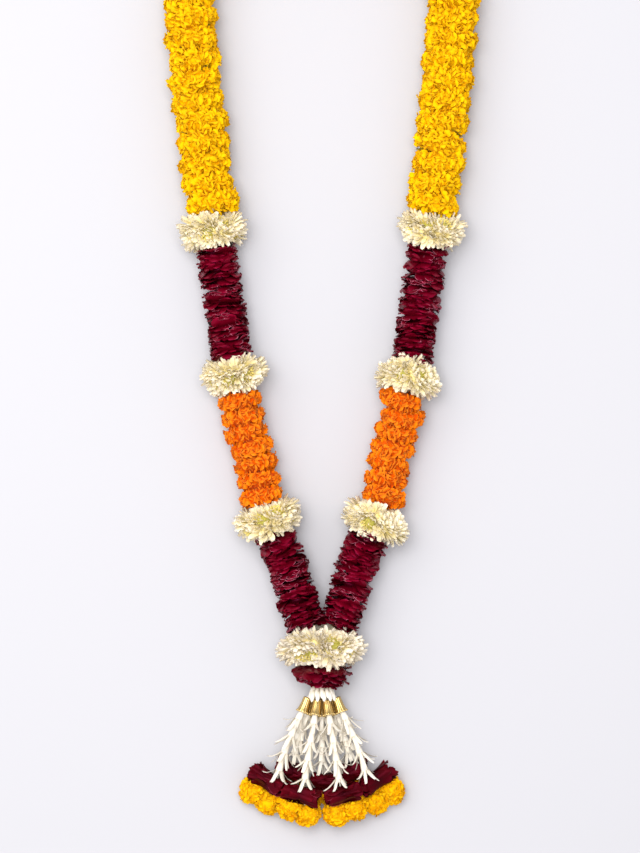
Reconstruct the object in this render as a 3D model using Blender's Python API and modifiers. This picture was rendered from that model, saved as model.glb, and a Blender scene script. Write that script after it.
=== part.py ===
"""Wedding garland of marigolds, chrysanthemums, rose petals and tuberoses, laid flat on a surface.

Metres, +Z up. The garland lies in the XY plane with its crown towards +Y and its tassel towards -Y,
and its two strands mirror each other across X = 0. While it is modelled, Y is measured from the
tassel's lower edge and Z from the surface. Everything hangs on one string, so each flower piece has
a bore along the string's route. At the end the whole garland is moved so that the bottom centre of
its box is the origin.
"""
import math

import bmesh
import bpy
import numpy as np
from mathutils import Vector

# ---------------------------------------------------------------- driving dimensions
GAP = 0.0006  # between neighbouring pieces along the string
SKIN = 0.00035  # between a string and the bore that it runs in

STRING_R = 0.0011
THREAD_R = 0.0007  # tassel threads are finer than the main string
KNOT_R = 0.0036
HUB_R = 0.0034
ROUTE_STEP = 0.0002  # the stretch that a route's direction is read over
OVERHANG = 0.0008  # how much longer a piece is swept before its ends are cut across the route
SPREAD = 0.0026  # how far from a knot's middle its strings part from each other

NECK_ARC_R = 0.1385  # the part of the loop that goes round the wearer's neck
NECK_ARC_Y = 0.8826
NECK_ARC_FROM = math.radians(-4.6)
YELLOW_Z = 0.027

KNOT = (0.0, 0.193, 0.033)  # where the two strands are tied together, inside the big ring
STEM_MIDDLE = (0.0, 0.168, 0.0300)
HUB = (0.0, 0.1445, 0.0225)  # where the tassel threads start, inside the bud neck
LOOP_POINTS = 63
STEM_POINTS = 5
THREAD_POINTS = 8
ARC_POINTS = 19
CUP_LEAD = 0.08  # how far above a cup its thread bends, as a share of the cup's height

# How many sides each kind of piece has round its centre line.
STRING_SIDES = 6
SMALL_SIDES = 8
HEAD_SIDES = 10
BUD_SIDES = 12
RING_SIDES = 16

# The right strand's centre line between the knot and the neck arc.
STRAND_ROUTE = (
    KNOT,
    (0.0185, 0.220, 0.0315),
    (0.0385, 0.2835, 0.0245),
    (0.0567, 0.3255, 0.0305),
    (0.0725, 0.3885, 0.0235),
    (0.0914, 0.4766, 0.0305),
    (0.1030, 0.5550, 0.0230),
    (0.1145, 0.6300, 0.0310),
    (0.1185, 0.6700, YELLOW_Z),
    (0.1297, 0.7665, YELLOW_Z),
)

# Turned profiles, as (share of the length, share of the radius).
MARIGOLD_PROFILE = ((0.0, 0.84), (0.28, 1.0), (0.72, 1.0), (1.0, 0.84))
ROSE_PROFILE = ((0.0, 0.90), (0.5, 1.0), (1.0, 0.90))
RING_PROFILE = ((0.0, 0.58), (0.14, 0.90), (0.37, 1.0), (0.63, 1.0), (0.86, 0.90), (1.0, 0.58))
COLLAR_PROFILE = ((0.0, 0.90), (0.2, 1.0), (0.45, 0.84), (0.6, 0.84), (0.8, 0.66), (1.0, 0.52))
ROLL_PROFILE = ((0.0, 0.78), (0.15, 1.0), (0.38, 0.93), (0.62, 1.0), (0.85, 0.96), (1.0, 0.76))
POM_PROFILE = ((-0.92, 0.45), (-0.55, 0.86), (0.0, 1.0), (0.55, 0.86))  # shares of its radius

YELLOW_R = 0.0285
YELLOW_HEADS = 42
HEADS_PER_YELLOW_GROUP = 3
ORANGE_R = 0.0232
ORANGE_HEADS = 7
LOWER_ORANGE_HEADS = 4  # the rest are in the upper group
HEAD_WAVE = 0.06  # how deep the petals' waves are, as a share of the radius
ROSE_R = 0.0212
ROSE_FOLD = 0.014  # one swell and one waist of a petal stack

RING_R = 0.0385
RING_HALF = 0.0235  # half of a chrysanthemum ring's height along the string
RING_Y = {"low": 0.3255, "middle": 0.4766, "high": 0.6300}
BIG_RING_R = 0.0405
BIG_RING_WIDE = 1.19  # its width against its depth, because it holds two strands
BIG_RING_HALF = 0.025
RING_WAVE = 0.08
ROSE_TO_BIG_RING = 0.0012

COLLAR_TOP_Y = 0.1672
COLLAR_TOP_Z = 0.0305
LEAN = 0.31  # how fast the collar and the buds come down towards the flat tassel
COLLAR_BOTTOM_Y = 0.1482
COLLAR_TOP_R = 0.0305
COLLAR_WAVE = 0.07
BUDS_BOTTOM_Y = 0.1376
BUDS_TOP_R = 0.0130
BUDS_BOTTOM_R = 0.0104
BUDS_WAVE = 0.10

CUP_HEIGHT = 0.016
CUP_TOP_R = 0.0040
CUP_RIM_R = 0.0065
CUP_WALL = 0.0006
CUP_STEPS = 10
CUP_WAIST_R = CUP_TOP_R * 1.12

FLORETS = 4
FLORET_TUBE_R = 0.0037
FLORET_THROAT_R = 0.0046
FLORET_MOUTH_R = 0.0076
FIRST_FLORET_R = 0.0031  # where it sits in its cup
FIRST_FLORET_DEPTH = 0.58  # how far it reaches up into its cup, as a share of the cup's height
LAST_FLORET_CLEAR = 0.0125  # from the middle of the petal roll to the last floret's mouth

ROLL_R = 0.0092
BIG_POM_R = 0.0120
SMALL_POM_R = 0.0094

# One tassel strand: its cup's top, the way the cup points, the thread's route from the cup's mouth
# on, where it crosses the petal roll, the roll's two ends, and the two small marigolds' centres.
# The thread ends in the first marigold. Strands with a side are made again, mirrored, on the left.
TASSEL = {
    "front_inner": {
        "cup": (0.0049, 0.1358, 0.0245),
        "route": ((0.0110, 0.098, 0.0310), (0.0142, 0.081, 0.0325), (0.0165, 0.062, 0.0335)),
        "cup_mouth": (0.0073, 0.1203, 0.0285),
        "crossing": (0.0200, 0.0375, 0.0340),
        "roll": ((0.0032, 0.0325, 0.0335), (0.0372, 0.0425, 0.0340)),
        "poms": ((0.0155, 0.0166, 0.0215), (0.0340, 0.0236, 0.0225)),
        "pom_r": BIG_POM_R,
        "sides": (1, -1),
    },
    "front_outer": {
        "cup": (0.0150, 0.1386, 0.0230),
        "route": ((0.0290, 0.1070, 0.0255), (0.0404, 0.0788, 0.0275), (0.0452, 0.0620, 0.0290)),
        "cup_mouth": (0.0204, 0.1236, 0.0245),
        "crossing": (0.0487, 0.0460, 0.0270),
        "roll": ((0.0418, 0.0420, 0.0292), (0.0700, 0.0600, 0.0180)),
        "poms": ((0.0566, 0.0280, 0.0118), (0.0730, 0.0385, 0.0118)),
        "pom_r": BIG_POM_R,
        "sides": (1, -1),
    },
    "back_side": {
        "cup": (0.0099, 0.1364, 0.0140),
        "route": ((0.0225, 0.1000, 0.0088), (0.0272, 0.0820, 0.0086), (0.0297, 0.0720, 0.0090)),
        "cup_mouth": (0.0137, 0.1210, 0.0100),
        "crossing": (0.0310, 0.0613, 0.0092),
        "roll": ((0.0178, 0.0580, 0.0092), (0.0445, 0.0650, 0.0092)),
        "poms": ((0.0264, 0.0406, 0.0093), (0.0412, 0.0442, 0.0093)),
        "pom_r": SMALL_POM_R,
        "sides": (1, -1),
    },
    "back_middle": {
        "cup": (0.0, 0.1364, 0.0140),
        "route": ((0.0, 0.0960, 0.0088), (0.0, 0.0780, 0.0086), (0.0, 0.0660, 0.0090)),
        "cup_mouth": (0.0, 0.1210, 0.0095),
        "crossing": (0.0, 0.0525, 0.0092),
        "roll": ((-0.0135, 0.0525, 0.0092), (0.0140, 0.0525, 0.0092)),
        "poms": ((-0.0080, 0.0335, 0.0093), (0.0080, 0.0335, 0.0093)),
        "pom_r": SMALL_POM_R,
        "sides": (1,),
    },
}

# name: (base colour, roughness, metallic)
FINISHES = {
    "yellow_petals": ((0.95, 0.52, 0.01, 1.0), 0.65, 0.0),
    "orange_petals": ((0.88, 0.18, 0.01, 1.0), 0.65, 0.0),
    "white_petals": ((0.88, 0.85, 0.70, 1.0), 0.60, 0.0),
    "rose_petals": ((0.16, 0.002, 0.02, 1.0), 0.45, 0.0),
    "tuberose_petals": ((0.86, 0.84, 0.72, 1.0), 0.45, 0.0),
    "gilt_metal": ((0.80, 0.50, 0.14, 1.0), 0.28, 1.0),
    "cotton_string": ((0.80, 0.76, 0.64, 1.0), 0.90, 0.0),
}


# ---------------------------------------------------------------- scene helpers
def clear_scene():
    """Removes every object of the open scene."""
    for ob in list(bpy.data.objects):
        bpy.data.objects.remove(ob)


def make_collection(name):
    """A new collection in the scene."""
    collection = bpy.data.collections.new(name)
    bpy.context.scene.collection.children.link(collection)
    return collection


def make_material(name):
    """A Principled material with one of the garland's finishes."""
    colour, roughness, metallic = FINISHES[name]
    material = bpy.data.materials.new(name)
    material.use_nodes = True
    shader = material.node_tree.nodes["Principled BSDF"]
    shader.inputs["Base Color"].default_value = colour
    shader.inputs["Roughness"].default_value = roughness
    shader.inputs["Metallic"].default_value = metallic
    material.diffuse_color = colour
    return material


def mirrored(point, side):
    """The point on the given side of the mirror plane X = 0."""
    return (point[0] * side, point[1], point[2])


def side_name(side):
    """The word that a mirrored piece's name carries."""
    return "right" if side > 0 else "left"


def strand_tag(word, side):
    """A tassel strand's name, with its side where it has a mirrored twin."""
    return f"{word}_{side_name(side)}" if len(TASSEL[word]["sides"]) > 1 else word


# ---------------------------------------------------------------- routes
class Route:
    """A smooth curve through points, measured by the length along it."""

    def __init__(self, points, per_span=24):
        knots = np.array(points, float)
        padded = np.vstack([2 * knots[0] - knots[1], knots, 2 * knots[-1] - knots[-2]])
        t = np.linspace(0, 1, per_span, endpoint=False)[:, None]
        spans = []
        for a, b, c, d in zip(padded, padded[1:], padded[2:], padded[3:]):
            linear = (c - a) * t
            square = (2 * a - 5 * b + 4 * c - d) * t**2
            cube = (3 * b - a - 3 * c + d) * t**3
            spans.append(0.5 * (2 * b + linear + square + cube))
        self.points = np.vstack(spans + [knots[-1:]])
        steps = np.linalg.norm(np.diff(self.points, axis=0), axis=1)
        self.lengths = np.concatenate([[0], np.cumsum(steps)])
        self.length = self.lengths[-1]

    def at(self, distances):
        """Points at the given distances along the route."""
        axes = [np.interp(distances, self.lengths, self.points[:, i]) for i in range(3)]
        return np.stack(axes, axis=-1)

    def direction(self, distance):
        """The way the route runs at a distance along it."""
        a, b = self.at(np.array([distance - ROUTE_STEP, distance + ROUTE_STEP]))
        return (b - a) / np.linalg.norm(b - a)

    def distance_at_y(self, y):
        """Distance at which the route, rising in Y from its start, reaches y."""
        rising = self.points[:, 1] <= y
        last = int(np.argmin(rising))
        y0, y1 = self.points[last - 1, 1], self.points[last, 1]
        share = (y - y0) / (y1 - y0)
        return self.lengths[last - 1] + share * (self.lengths[last] - self.lengths[last - 1])


def loop_points(side):
    """The loop's centre line from the knot up one side, round the neck and down the other side."""
    points = [mirrored(p, side) for p in STRAND_ROUTE]
    for angle in np.linspace(NECK_ARC_FROM, math.pi - NECK_ARC_FROM, ARC_POINTS):
        x = NECK_ARC_R * math.cos(angle)
        y = NECK_ARC_Y + NECK_ARC_R * math.sin(angle)
        points.append((side * x, y, YELLOW_Z))
    return points + [mirrored(p, -side) for p in STRAND_ROUTE[::-1]]


def thread_points(strand, side, extra):
    """A tassel thread's centre line, from the hub to just past its first small marigold's middle."""
    top, mouth = np.array(strand["cup"]), np.array(strand["cup_mouth"])
    above = top - (mouth - top) * CUP_LEAD
    rest = Route([mouth, *strand["route"], strand["crossing"], strand["poms"][0]])
    below = rest.at(np.linspace(0, rest.length, THREAD_POINTS))
    below[-1] += (below[-1] - below[-2]) / np.linalg.norm(below[-1] - below[-2]) * extra
    hub = np.array(HUB)
    start = hub + (above - hub) / np.linalg.norm(above - hub) * SPREAD
    return [mirrored(p, side) for p in (start, above, *below)]


# ---------------------------------------------------------------- mesh helpers
def swept_mesh(name, points, radii, sides):
    """A closed tube through the points, with a radius at each."""
    curve = bpy.data.curves.new(name, "CURVE")
    curve.dimensions = "3D"
    curve.twist_mode = "Z_UP"
    curve.bevel_depth = 1.0
    curve.bevel_resolution = sides // 2 - 2
    curve.use_fill_caps = True
    spline = curve.splines.new("POLY")
    spline.points.add(len(points) - 1)
    for knot, place, radius in zip(spline.points, points, radii):
        knot.co = (*place, 1.0)
        knot.radius = radius
    guide = bpy.data.objects.new(name, curve)
    bpy.context.scene.collection.objects.link(guide)
    graph = bpy.context.evaluated_depsgraph_get()
    mesh = bpy.data.meshes.new_from_object(guide.evaluated_get(graph), depsgraph=graph)
    bpy.data.objects.remove(guide)
    bm = bmesh.new()
    bm.from_mesh(mesh)
    bmesh.ops.remove_doubles(bm, verts=bm.verts, dist=1e-6)
    bmesh.ops.recalc_face_normals(bm, faces=bm.faces)
    bm.to_mesh(mesh)
    bm.free()
    return mesh


def flute(mesh, centres, lobes, depth):
    """Waves the surface in and out around its centre line, as petals do."""
    line = np.array(centres, float)
    sideways = np.cross(line[-1] - line[0], (0, 0, 1))
    sideways /= np.linalg.norm(sideways)
    for vertex in mesh.vertices:
        place = np.array(vertex.co)
        centre = line[np.argmin(np.linalg.norm(line - place, axis=1))]
        arm = place - centre
        angle = math.atan2(arm[2], float(arm @ sideways))
        vertex.co = centre + arm * (1 - depth * (0.5 - 0.5 * math.cos(lobes * angle)))


def trim(mesh, point, normal):
    """Cuts away what lies past a plane, on its normal's side, and closes the cut flat."""
    bm = bmesh.new()
    bm.from_mesh(mesh)
    geometry = bm.verts[:] + bm.edges[:] + bm.faces[:]
    bmesh.ops.bisect_plane(
        bm, geom=geometry, dist=1e-7, plane_co=point, plane_no=normal, clear_outer=True
    )
    open_edges = [edge for edge in bm.edges if edge.is_boundary]
    if open_edges:
        bmesh.ops.holes_fill(bm, edges=open_edges)
    bmesh.ops.recalc_face_normals(bm, faces=bm.faces)
    bm.to_mesh(mesh)
    bm.free()


def lean_down(mesh):
    """Slopes a piece under the big ring down towards the tassel, with its ends kept upright."""
    for vertex in mesh.vertices:
        vertex.co.z -= LEAN * (COLLAR_TOP_Y - vertex.co.y)


def rest_on_surface(mesh):
    """Presses flat the petals that the piece lies on."""
    trim(mesh, (0, 0, 0), (0, 0, -1))


class Garland:
    """Collects the garland's pieces and makes them."""

    def __init__(self):
        self.pieces = make_collection("marigold_garland")
        self.cutters = make_collection("cutters")
        self.materials = {name: make_material(name) for name in FINISHES}
        self.frame = bpy.data.objects.new("garland_frame", None)
        self.pieces.objects.link(self.frame)
        self.routes = {side: Route(loop_points(side)) for side in (1, -1)}
        self.bores = {}

    def add(self, name, mesh, finish, bores=("loop",)):
        """Makes one named piece, bored where the named parts of the string run."""
        mesh.materials.clear()
        mesh.materials.append(self.materials[finish])
        ob = bpy.data.objects.new(name, mesh)
        self.pieces.objects.link(ob)
        ob.parent = self.frame
        for bore in bores:
            self.combine(ob, self.bores[bore], "DIFFERENCE")
        return ob

    def combine(self, ob, tool, operation):
        """Adds a Boolean modifier that cuts the tool from the object or joins it."""
        combine = ob.modifiers.new(tool.name, "BOOLEAN")
        combine.operation = operation
        combine.solver = "EXACT"
        combine.object = tool

    # ------------------------------------------------------------ string
    def string_parts(self, extra):
        """The string's tubes and knots, by name, thicker by extra."""
        route = self.routes[1]
        loop = route.at(np.linspace(SPREAD, route.length - SPREAD, LOOP_POINTS))
        parts = {"loop": swept_mesh("loop", loop, [STRING_R + extra] * len(loop), STRING_SIDES)}
        stem = Route((KNOT, STEM_MIDDLE, HUB))
        points = stem.at(np.linspace(SPREAD / 2, stem.length - SPREAD / 2, STEM_POINTS))
        radii = [STRING_R + extra] * len(points)
        parts["stem"] = swept_mesh("stem", points, radii, STRING_SIDES)
        for word, strand in TASSEL.items():
            for side in strand["sides"]:
                points = thread_points(strand, side, extra)
                radii = [THREAD_R + extra] * len(points)
                tag = strand_tag(word, side)
                parts[tag] = swept_mesh("thread", points, radii, STRING_SIDES)
        for word, centre, radius in (("knot", KNOT, KNOT_R), ("hub", HUB, HUB_R)):
            bm = bmesh.new()
            bmesh.ops.create_icosphere(bm, subdivisions=1, radius=radius + extra)
            bmesh.ops.translate(bm, verts=bm.verts, vec=Vector(centre))
            parts[word] = bpy.data.meshes.new(word)
            bm.to_mesh(parts[word])
            bm.free()
        return parts

    def make_string(self):
        """The string that carries every flower, and the tools that bore its way."""
        for name, mesh in self.string_parts(SKIN).items():
            self.bores[name] = self.make_tool(f"bore_{name}", mesh)
        tools = [self.make_tool(f"join_{name}", mesh)
                 for name, mesh in self.string_parts(0.0).items()]
        string = bpy.data.objects.new("garland_string", tools[0].data)
        self.pieces.objects.link(string)
        string.parent = self.frame
        string.data.materials.append(self.materials["cotton_string"])
        for tool in tools[1:]:
            self.combine(string, tool, "UNION")

    def make_tool(self, name, mesh):
        """An object that only cuts or joins others."""
        tool = bpy.data.objects.new(name, mesh)
        self.cutters.objects.link(tool)
        tool.parent = self.frame
        tool.hide_render = True
        tool.display_type = "WIRE"
        return tool

    # ------------------------------------------------------------ strands
    def along_route(self, route, start, end, shape, sides, depth):
        """A piece turned about the route from start to end, cut square to it at both ends.

        The shape is a list of (share of the length, radius), and every second side is a wave's crest.
        """
        start += GAP / 2
        end -= GAP / 2
        shares = np.array([share for share, _ in shape])
        points = route.at(start - OVERHANG + shares * (end - start + 2 * OVERHANG))
        mesh = swept_mesh("piece", points, [radius for _, radius in shape], sides)
        flute(mesh, points, sides // 2, depth)
        trim(mesh, route.at(start), -route.direction(start))
        trim(mesh, route.at(end), route.direction(end))
        rest_on_surface(mesh)
        return mesh

    def stack(self, name, route, start, end, heads, radius, finish, profile):
        """A run of equal heads along a route, each with the same turned profile."""
        shape = [(0.0, profile[0][1] * radius)]
        for head in range(heads):
            shape += [((head + share) / heads, height * radius) for share, height in profile[1:]]
        mesh = self.along_route(route, start, end, shape, HEAD_SIDES, HEAD_WAVE)
        return self.add(name, mesh, finish)

    def make_marigolds(self):
        """The yellow heads round the neck and the orange heads lower down."""
        route = self.routes[1]
        start = route.distance_at_y(RING_Y["high"]) + RING_HALF
        groups = YELLOW_HEADS // HEADS_PER_YELLOW_GROUP
        edges = np.linspace(start, route.length - start, groups + 1)
        for number, (a, b) in enumerate(zip(edges, edges[1:]), 1):
            self.stack(
                f"yellow_marigolds_{number:02d}", route, a, b, HEADS_PER_YELLOW_GROUP,
                YELLOW_R, "yellow_petals", MARIGOLD_PROFILE,
            )
        for side in (1, -1):
            route = self.routes[side]
            low = route.distance_at_y(RING_Y["low"]) + RING_HALF
            high = route.distance_at_y(RING_Y["middle"]) - RING_HALF
            middle = low + (high - low) * LOWER_ORANGE_HEADS / ORANGE_HEADS
            rest = ORANGE_HEADS - LOWER_ORANGE_HEADS
            groups = (("lower", low, middle, LOWER_ORANGE_HEADS), ("upper", middle, high, rest))
            for word, a, b, heads in groups:
                self.stack(
                    f"orange_marigolds_{side_name(side)}_{word}", route, a, b, heads,
                    ORANGE_R, "orange_petals", MARIGOLD_PROFILE,
                )

    def make_rose_stacks(self):
        """The four long stacks of folded rose petals."""
        ring_top = KNOT[1] + BIG_RING_HALF
        for side in (1, -1):
            route = self.routes[side]
            ring = {word: route.distance_at_y(y) for word, y in RING_Y.items()}
            foot = route.distance_at_y(ring_top + ROSE_TO_BIG_RING)
            runs = {
                "lower": (foot, ring["low"] - RING_HALF),
                "upper": (ring["middle"] + RING_HALF, ring["high"] - RING_HALF),
            }
            for word, (a, b) in runs.items():
                folds = round((b - a) / ROSE_FOLD)
                ob = self.stack(
                    f"rose_petals_{side_name(side)}_{word}", route, a, b, folds,
                    ROSE_R, "rose_petals", ROSE_PROFILE,
                )
                if word == "lower":
                    trim(ob.data, (side * GAP / 2, 0, 0), (-side, 0, 0))
                    trim(ob.data, (0, ring_top + GAP / 2, 0), (0, -1, 0))

    # ------------------------------------------------------------ rings, collar and buds
    def make_rings(self):
        """The six chrysanthemum rings on the strands, and the big one that joins them."""
        turned = [(share, RING_R * height) for share, height in RING_PROFILE]
        for side in (1, -1):
            route = self.routes[side]
            for word, y in RING_Y.items():
                middle = route.distance_at_y(y)
                a, b = middle - RING_HALF, middle + RING_HALF
                mesh = self.along_route(route, a, b, turned, RING_SIDES, RING_WAVE)
                self.add(f"chrysanthemum_ring_{side_name(side)}_{word}", mesh, "white_petals")
        foot = KNOT[1] - BIG_RING_HALF
        points = [(0.0, foot + 2 * BIG_RING_HALF * share, KNOT[2]) for share, _ in RING_PROFILE]
        radii = [BIG_RING_R * height for _, height in RING_PROFILE]
        mesh = swept_mesh("ring", points, radii, RING_SIDES)
        flute(mesh, points, RING_SIDES // 2, RING_WAVE)
        for vertex in mesh.vertices:
            vertex.co.x *= BIG_RING_WIDE
        rest_on_surface(mesh)
        bores = ("loop", "stem", "knot")
        self.add("chrysanthemum_ring_joining", mesh, "white_petals", bores)

    def make_collar_and_buds(self):
        """The rose-petal collar under the big ring, and the tuberose buds under the collar."""
        height = COLLAR_TOP_Y - COLLAR_BOTTOM_Y
        points = [(0.0, COLLAR_TOP_Y - height * share, COLLAR_TOP_Z) for share, _ in COLLAR_PROFILE]
        radii = [COLLAR_TOP_R * width for _, width in COLLAR_PROFILE]
        mesh = swept_mesh("collar", points, radii, RING_SIDES)
        flute(mesh, points, RING_SIDES // 2, COLLAR_WAVE)
        lean_down(mesh)
        rest_on_surface(mesh)
        self.add("rose_petal_collar", mesh, "rose_petals", ("stem",))
        top = COLLAR_BOTTOM_Y - GAP
        levels = (top, (top + BUDS_BOTTOM_Y) / 2, BUDS_BOTTOM_Y)
        points = [(0.0, y, COLLAR_TOP_Z) for y in levels]
        radii = (BUDS_TOP_R, (BUDS_TOP_R + BUDS_BOTTOM_R) / 2, BUDS_BOTTOM_R)
        mesh = swept_mesh("buds", points, radii, BUD_SIDES)
        flute(mesh, points, BUD_SIDES // 2, BUDS_WAVE)
        lean_down(mesh)
        threads = [strand_tag(word, side) for word in TASSEL for side in TASSEL[word]["sides"]]
        self.add("tuberose_bud_neck", mesh, "tuberose_petals", ("stem", "hub", *threads))

    # ------------------------------------------------------------ tassel
    def make_cup(self, name, top, mouth):
        """A gilt bell cup: a turned shell with a thread hole in its closed end."""
        hole = THREAD_R + SKIN
        profile = (
            (hole, 0.0), (CUP_TOP_R * 0.8, 0.0), (CUP_TOP_R, -CUP_WALL * 1.5),
            (CUP_WAIST_R, -CUP_HEIGHT / 2), (CUP_RIM_R, -CUP_HEIGHT),
            (CUP_RIM_R - CUP_WALL, -CUP_HEIGHT), (CUP_WAIST_R - CUP_WALL, -CUP_HEIGHT / 2),
            (CUP_TOP_R - CUP_WALL, -CUP_WALL * 2), (hole, -CUP_WALL),
        )
        mesh = bpy.data.meshes.new(name)
        edges = [(i, (i + 1) % len(profile)) for i in range(len(profile))]
        mesh.from_pydata([(radius, 0.0, height) for radius, height in profile], edges, [])
        ob = self.add(name, mesh, "gilt_metal", bores=())
        turn = ob.modifiers.new("turn", "SCREW")
        turn.axis = "Z"
        turn.steps = CUP_STEPS
        turn.render_steps = CUP_STEPS
        turn.use_merge_vertices = True
        turn.merge_threshold = 0.00001
        ob.location = top
        down = Vector(mouth) - Vector(top)
        ob.rotation_mode = "QUATERNION"
        ob.rotation_quaternion = Vector((0, 0, -1)).rotation_difference(down)

    def make_florets(self, tag, strand, side):
        """Tuberose florets nested one in the next along a tassel thread."""
        way = (strand["cup"], strand["cup_mouth"], *strand["route"], strand["crossing"])
        route = Route([mirrored(p, side) for p in way])
        mouth = Vector(strand["cup_mouth"]) - Vector(strand["cup"])
        start = mouth.length * (1 - FIRST_FLORET_DEPTH)
        end = route.length - LAST_FLORET_CLEAR
        first = (mouth.length + FLORET_TUBE_R / 2 - start) / (end - start)
        pitch = (1 - first) / FLORETS
        places, radii = [0.0, first], [FIRST_FLORET_R, FLORET_TUBE_R]
        floret = ((0.70, FLORET_THROAT_R), (0.96, FLORET_MOUTH_R), (1.0, FLORET_TUBE_R))
        for number in range(FLORETS):
            for share, radius in floret:
                places.append(first + pitch * (number + share))
                radii.append(radius)
        points = route.at(start + np.array(places) * (end - start))
        mesh = swept_mesh("florets", points, radii, SMALL_SIDES)
        rest_on_surface(mesh)
        self.add(f"tuberose_strand_{tag}", mesh, "tuberose_petals", (tag,))

    def make_roll(self, tag, ends):
        """A roll of rose petals across the end of a tassel strand."""
        a, b = (np.array(end) for end in ends)
        points = [a + (b - a) * share for share, _ in ROLL_PROFILE]
        radii = [ROLL_R * height for _, height in ROLL_PROFILE]
        mesh = swept_mesh("roll", points, radii, SMALL_SIDES)
        rest_on_surface(mesh)
        self.add(f"petal_roll_{tag}", mesh, "rose_petals", (tag,))

    def make_poms(self, tag, centres, radius):
        """The two small marigolds side by side at the end of a tassel strand."""
        a, b = (np.array(centre) for centre in centres)
        along = (b - a) / np.linalg.norm(b - a) * radius
        points = [a + along * share for share, _ in POM_PROFILE]
        points += [b - along * share for share, _ in POM_PROFILE[::-1]]
        radii = [radius * height for _, height in POM_PROFILE]
        mesh = swept_mesh("poms", points, radii + radii[::-1], SMALL_SIDES)
        rest_on_surface(mesh)
        self.add(f"small_marigolds_{tag}", mesh, "yellow_petals", (tag,))

    def make_tassel(self):
        """Seven strands of cups, florets, petal rolls and small marigolds."""
        for word, strand in TASSEL.items():
            for side in strand["sides"]:
                tag = strand_tag(word, side)
                top, mouth = (mirrored(strand[key], side) for key in ("cup", "cup_mouth"))
                self.make_cup(f"gold_cup_{tag}", top, mouth)
                self.make_florets(tag, strand, side)
                self.make_roll(tag, [mirrored(end, side) for end in strand["roll"]])
                centres = [mirrored(centre, side) for centre in strand["poms"]]
                self.make_poms(tag, centres, strand["pom_r"])

    def place_origin(self):
        """Moves the garland so that its box stands with its bottom centre on the origin."""
        graph = bpy.context.evaluated_depsgraph_get()
        corners = []
        for ob in self.pieces.objects:
            if ob.type == "MESH":
                seen = ob.evaluated_get(graph)
                corners += [seen.matrix_world @ vertex.co for vertex in seen.data.vertices]
        low = np.min(corners, axis=0)
        high = np.max(corners, axis=0)
        self.frame.location = (-(low[0] + high[0]) / 2, -(low[1] + high[1]) / 2, -low[2])
        bpy.context.view_layer.update()


def main():
    """Builds the garland."""
    clear_scene()
    garland = Garland()
    garland.make_string()
    garland.make_marigolds()
    garland.make_rose_stacks()
    garland.make_rings()
    garland.make_collar_and_buds()
    garland.make_tassel()
    garland.place_origin()


main()
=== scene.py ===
"""The looks of a wedding garland of marigolds, chrysanthemums, rose petals and tuberoses.

Metres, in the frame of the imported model: +Y towards the crown of the neck loop, +X to the right
strand and +Z up from the surface that the garland lies on. Each petal is modelled once and copied
into heads, stacks and florets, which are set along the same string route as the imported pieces.
"""
import logging
import math
from collections.abc import Callable
from dataclasses import Field, dataclass, field, replace
from enum import Enum

import bmesh
import bpy
import numpy as np
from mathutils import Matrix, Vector


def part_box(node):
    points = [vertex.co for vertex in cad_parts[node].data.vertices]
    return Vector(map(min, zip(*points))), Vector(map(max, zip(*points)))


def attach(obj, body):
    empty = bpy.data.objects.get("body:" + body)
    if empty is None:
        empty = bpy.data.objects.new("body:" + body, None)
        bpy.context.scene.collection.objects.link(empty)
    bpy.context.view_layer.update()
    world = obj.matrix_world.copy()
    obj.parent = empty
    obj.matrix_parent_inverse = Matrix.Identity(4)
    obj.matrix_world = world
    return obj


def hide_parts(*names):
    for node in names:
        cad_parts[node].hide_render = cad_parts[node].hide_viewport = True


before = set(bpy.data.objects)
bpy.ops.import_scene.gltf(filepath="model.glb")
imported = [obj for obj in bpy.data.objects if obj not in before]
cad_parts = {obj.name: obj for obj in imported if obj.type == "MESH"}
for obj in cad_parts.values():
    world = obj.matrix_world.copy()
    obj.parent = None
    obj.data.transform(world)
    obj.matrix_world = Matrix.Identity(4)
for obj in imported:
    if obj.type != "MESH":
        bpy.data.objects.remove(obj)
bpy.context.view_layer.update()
LOG = logging.getLogger("garland")

# ---------------------------------------------------------------- directions and angles
FULL_TURN = 2 * math.pi
GOLDEN = math.pi * (3 - math.sqrt(5))  # the turn from one petal of a packed head to the next
AXIS = np.array([0.0, 0.0, 1.0])
# Axes as rows, with the last along the part: up a strand, and down the tassel.
UP_STRAND = np.array([[1.0, 0.0, 0.0], [0.0, 0.0, 1.0], [0.0, 1.0, 0.0]])
DOWN_TASSEL = np.array([[1.0, 0.0, 0.0], [0.0, 0.0, 1.0], [0.0, -1.0, 0.0]])


def unit(vector: np.ndarray) -> np.ndarray:
    """The vector, or each row of an array, at length one."""
    return vector / np.linalg.norm(vector, axis=-1, keepdims=True)


def around(angles: np.ndarray) -> np.ndarray:
    """Directions square to a head's axis, at these angles."""
    return np.stack([np.cos(angles), np.sin(angles), np.zeros_like(angles)], axis=1)


def spread_round(count: int, shift: float = 0.0) -> np.ndarray:
    """Angles spread evenly round a full turn, from a share of one step."""
    return (np.arange(count) + shift) * FULL_TURN / count


def faced(ways: np.ndarray, towards: np.ndarray) -> np.ndarray:
    """Facings square to each petal's way, turned to a direction."""
    towards = np.broadcast_to(towards, ways.shape)
    return unit(towards - np.sum(towards * ways, axis=1, keepdims=True) * ways)


def axes_along(way: np.ndarray) -> np.ndarray:
    """Axes as rows: level across a direction, up from it, and the direction."""
    across = unit(np.cross(way, AXIS))
    return np.array([across, np.cross(across, way), way])


def spun(first: np.ndarray, second: np.ndarray, way: np.ndarray, angle: float) -> np.ndarray:
    """Turns axes about the last of them.

    Args:
        first: The first axis.
        second: The second.
        way: The last, which stays.
        angle: How far to turn.

    Returns:
        The axes, as rows.
    """
    c, s = math.cos(angle), math.sin(angle)
    return np.array([first * c + second * s, second * c - first * s, way])


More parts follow.
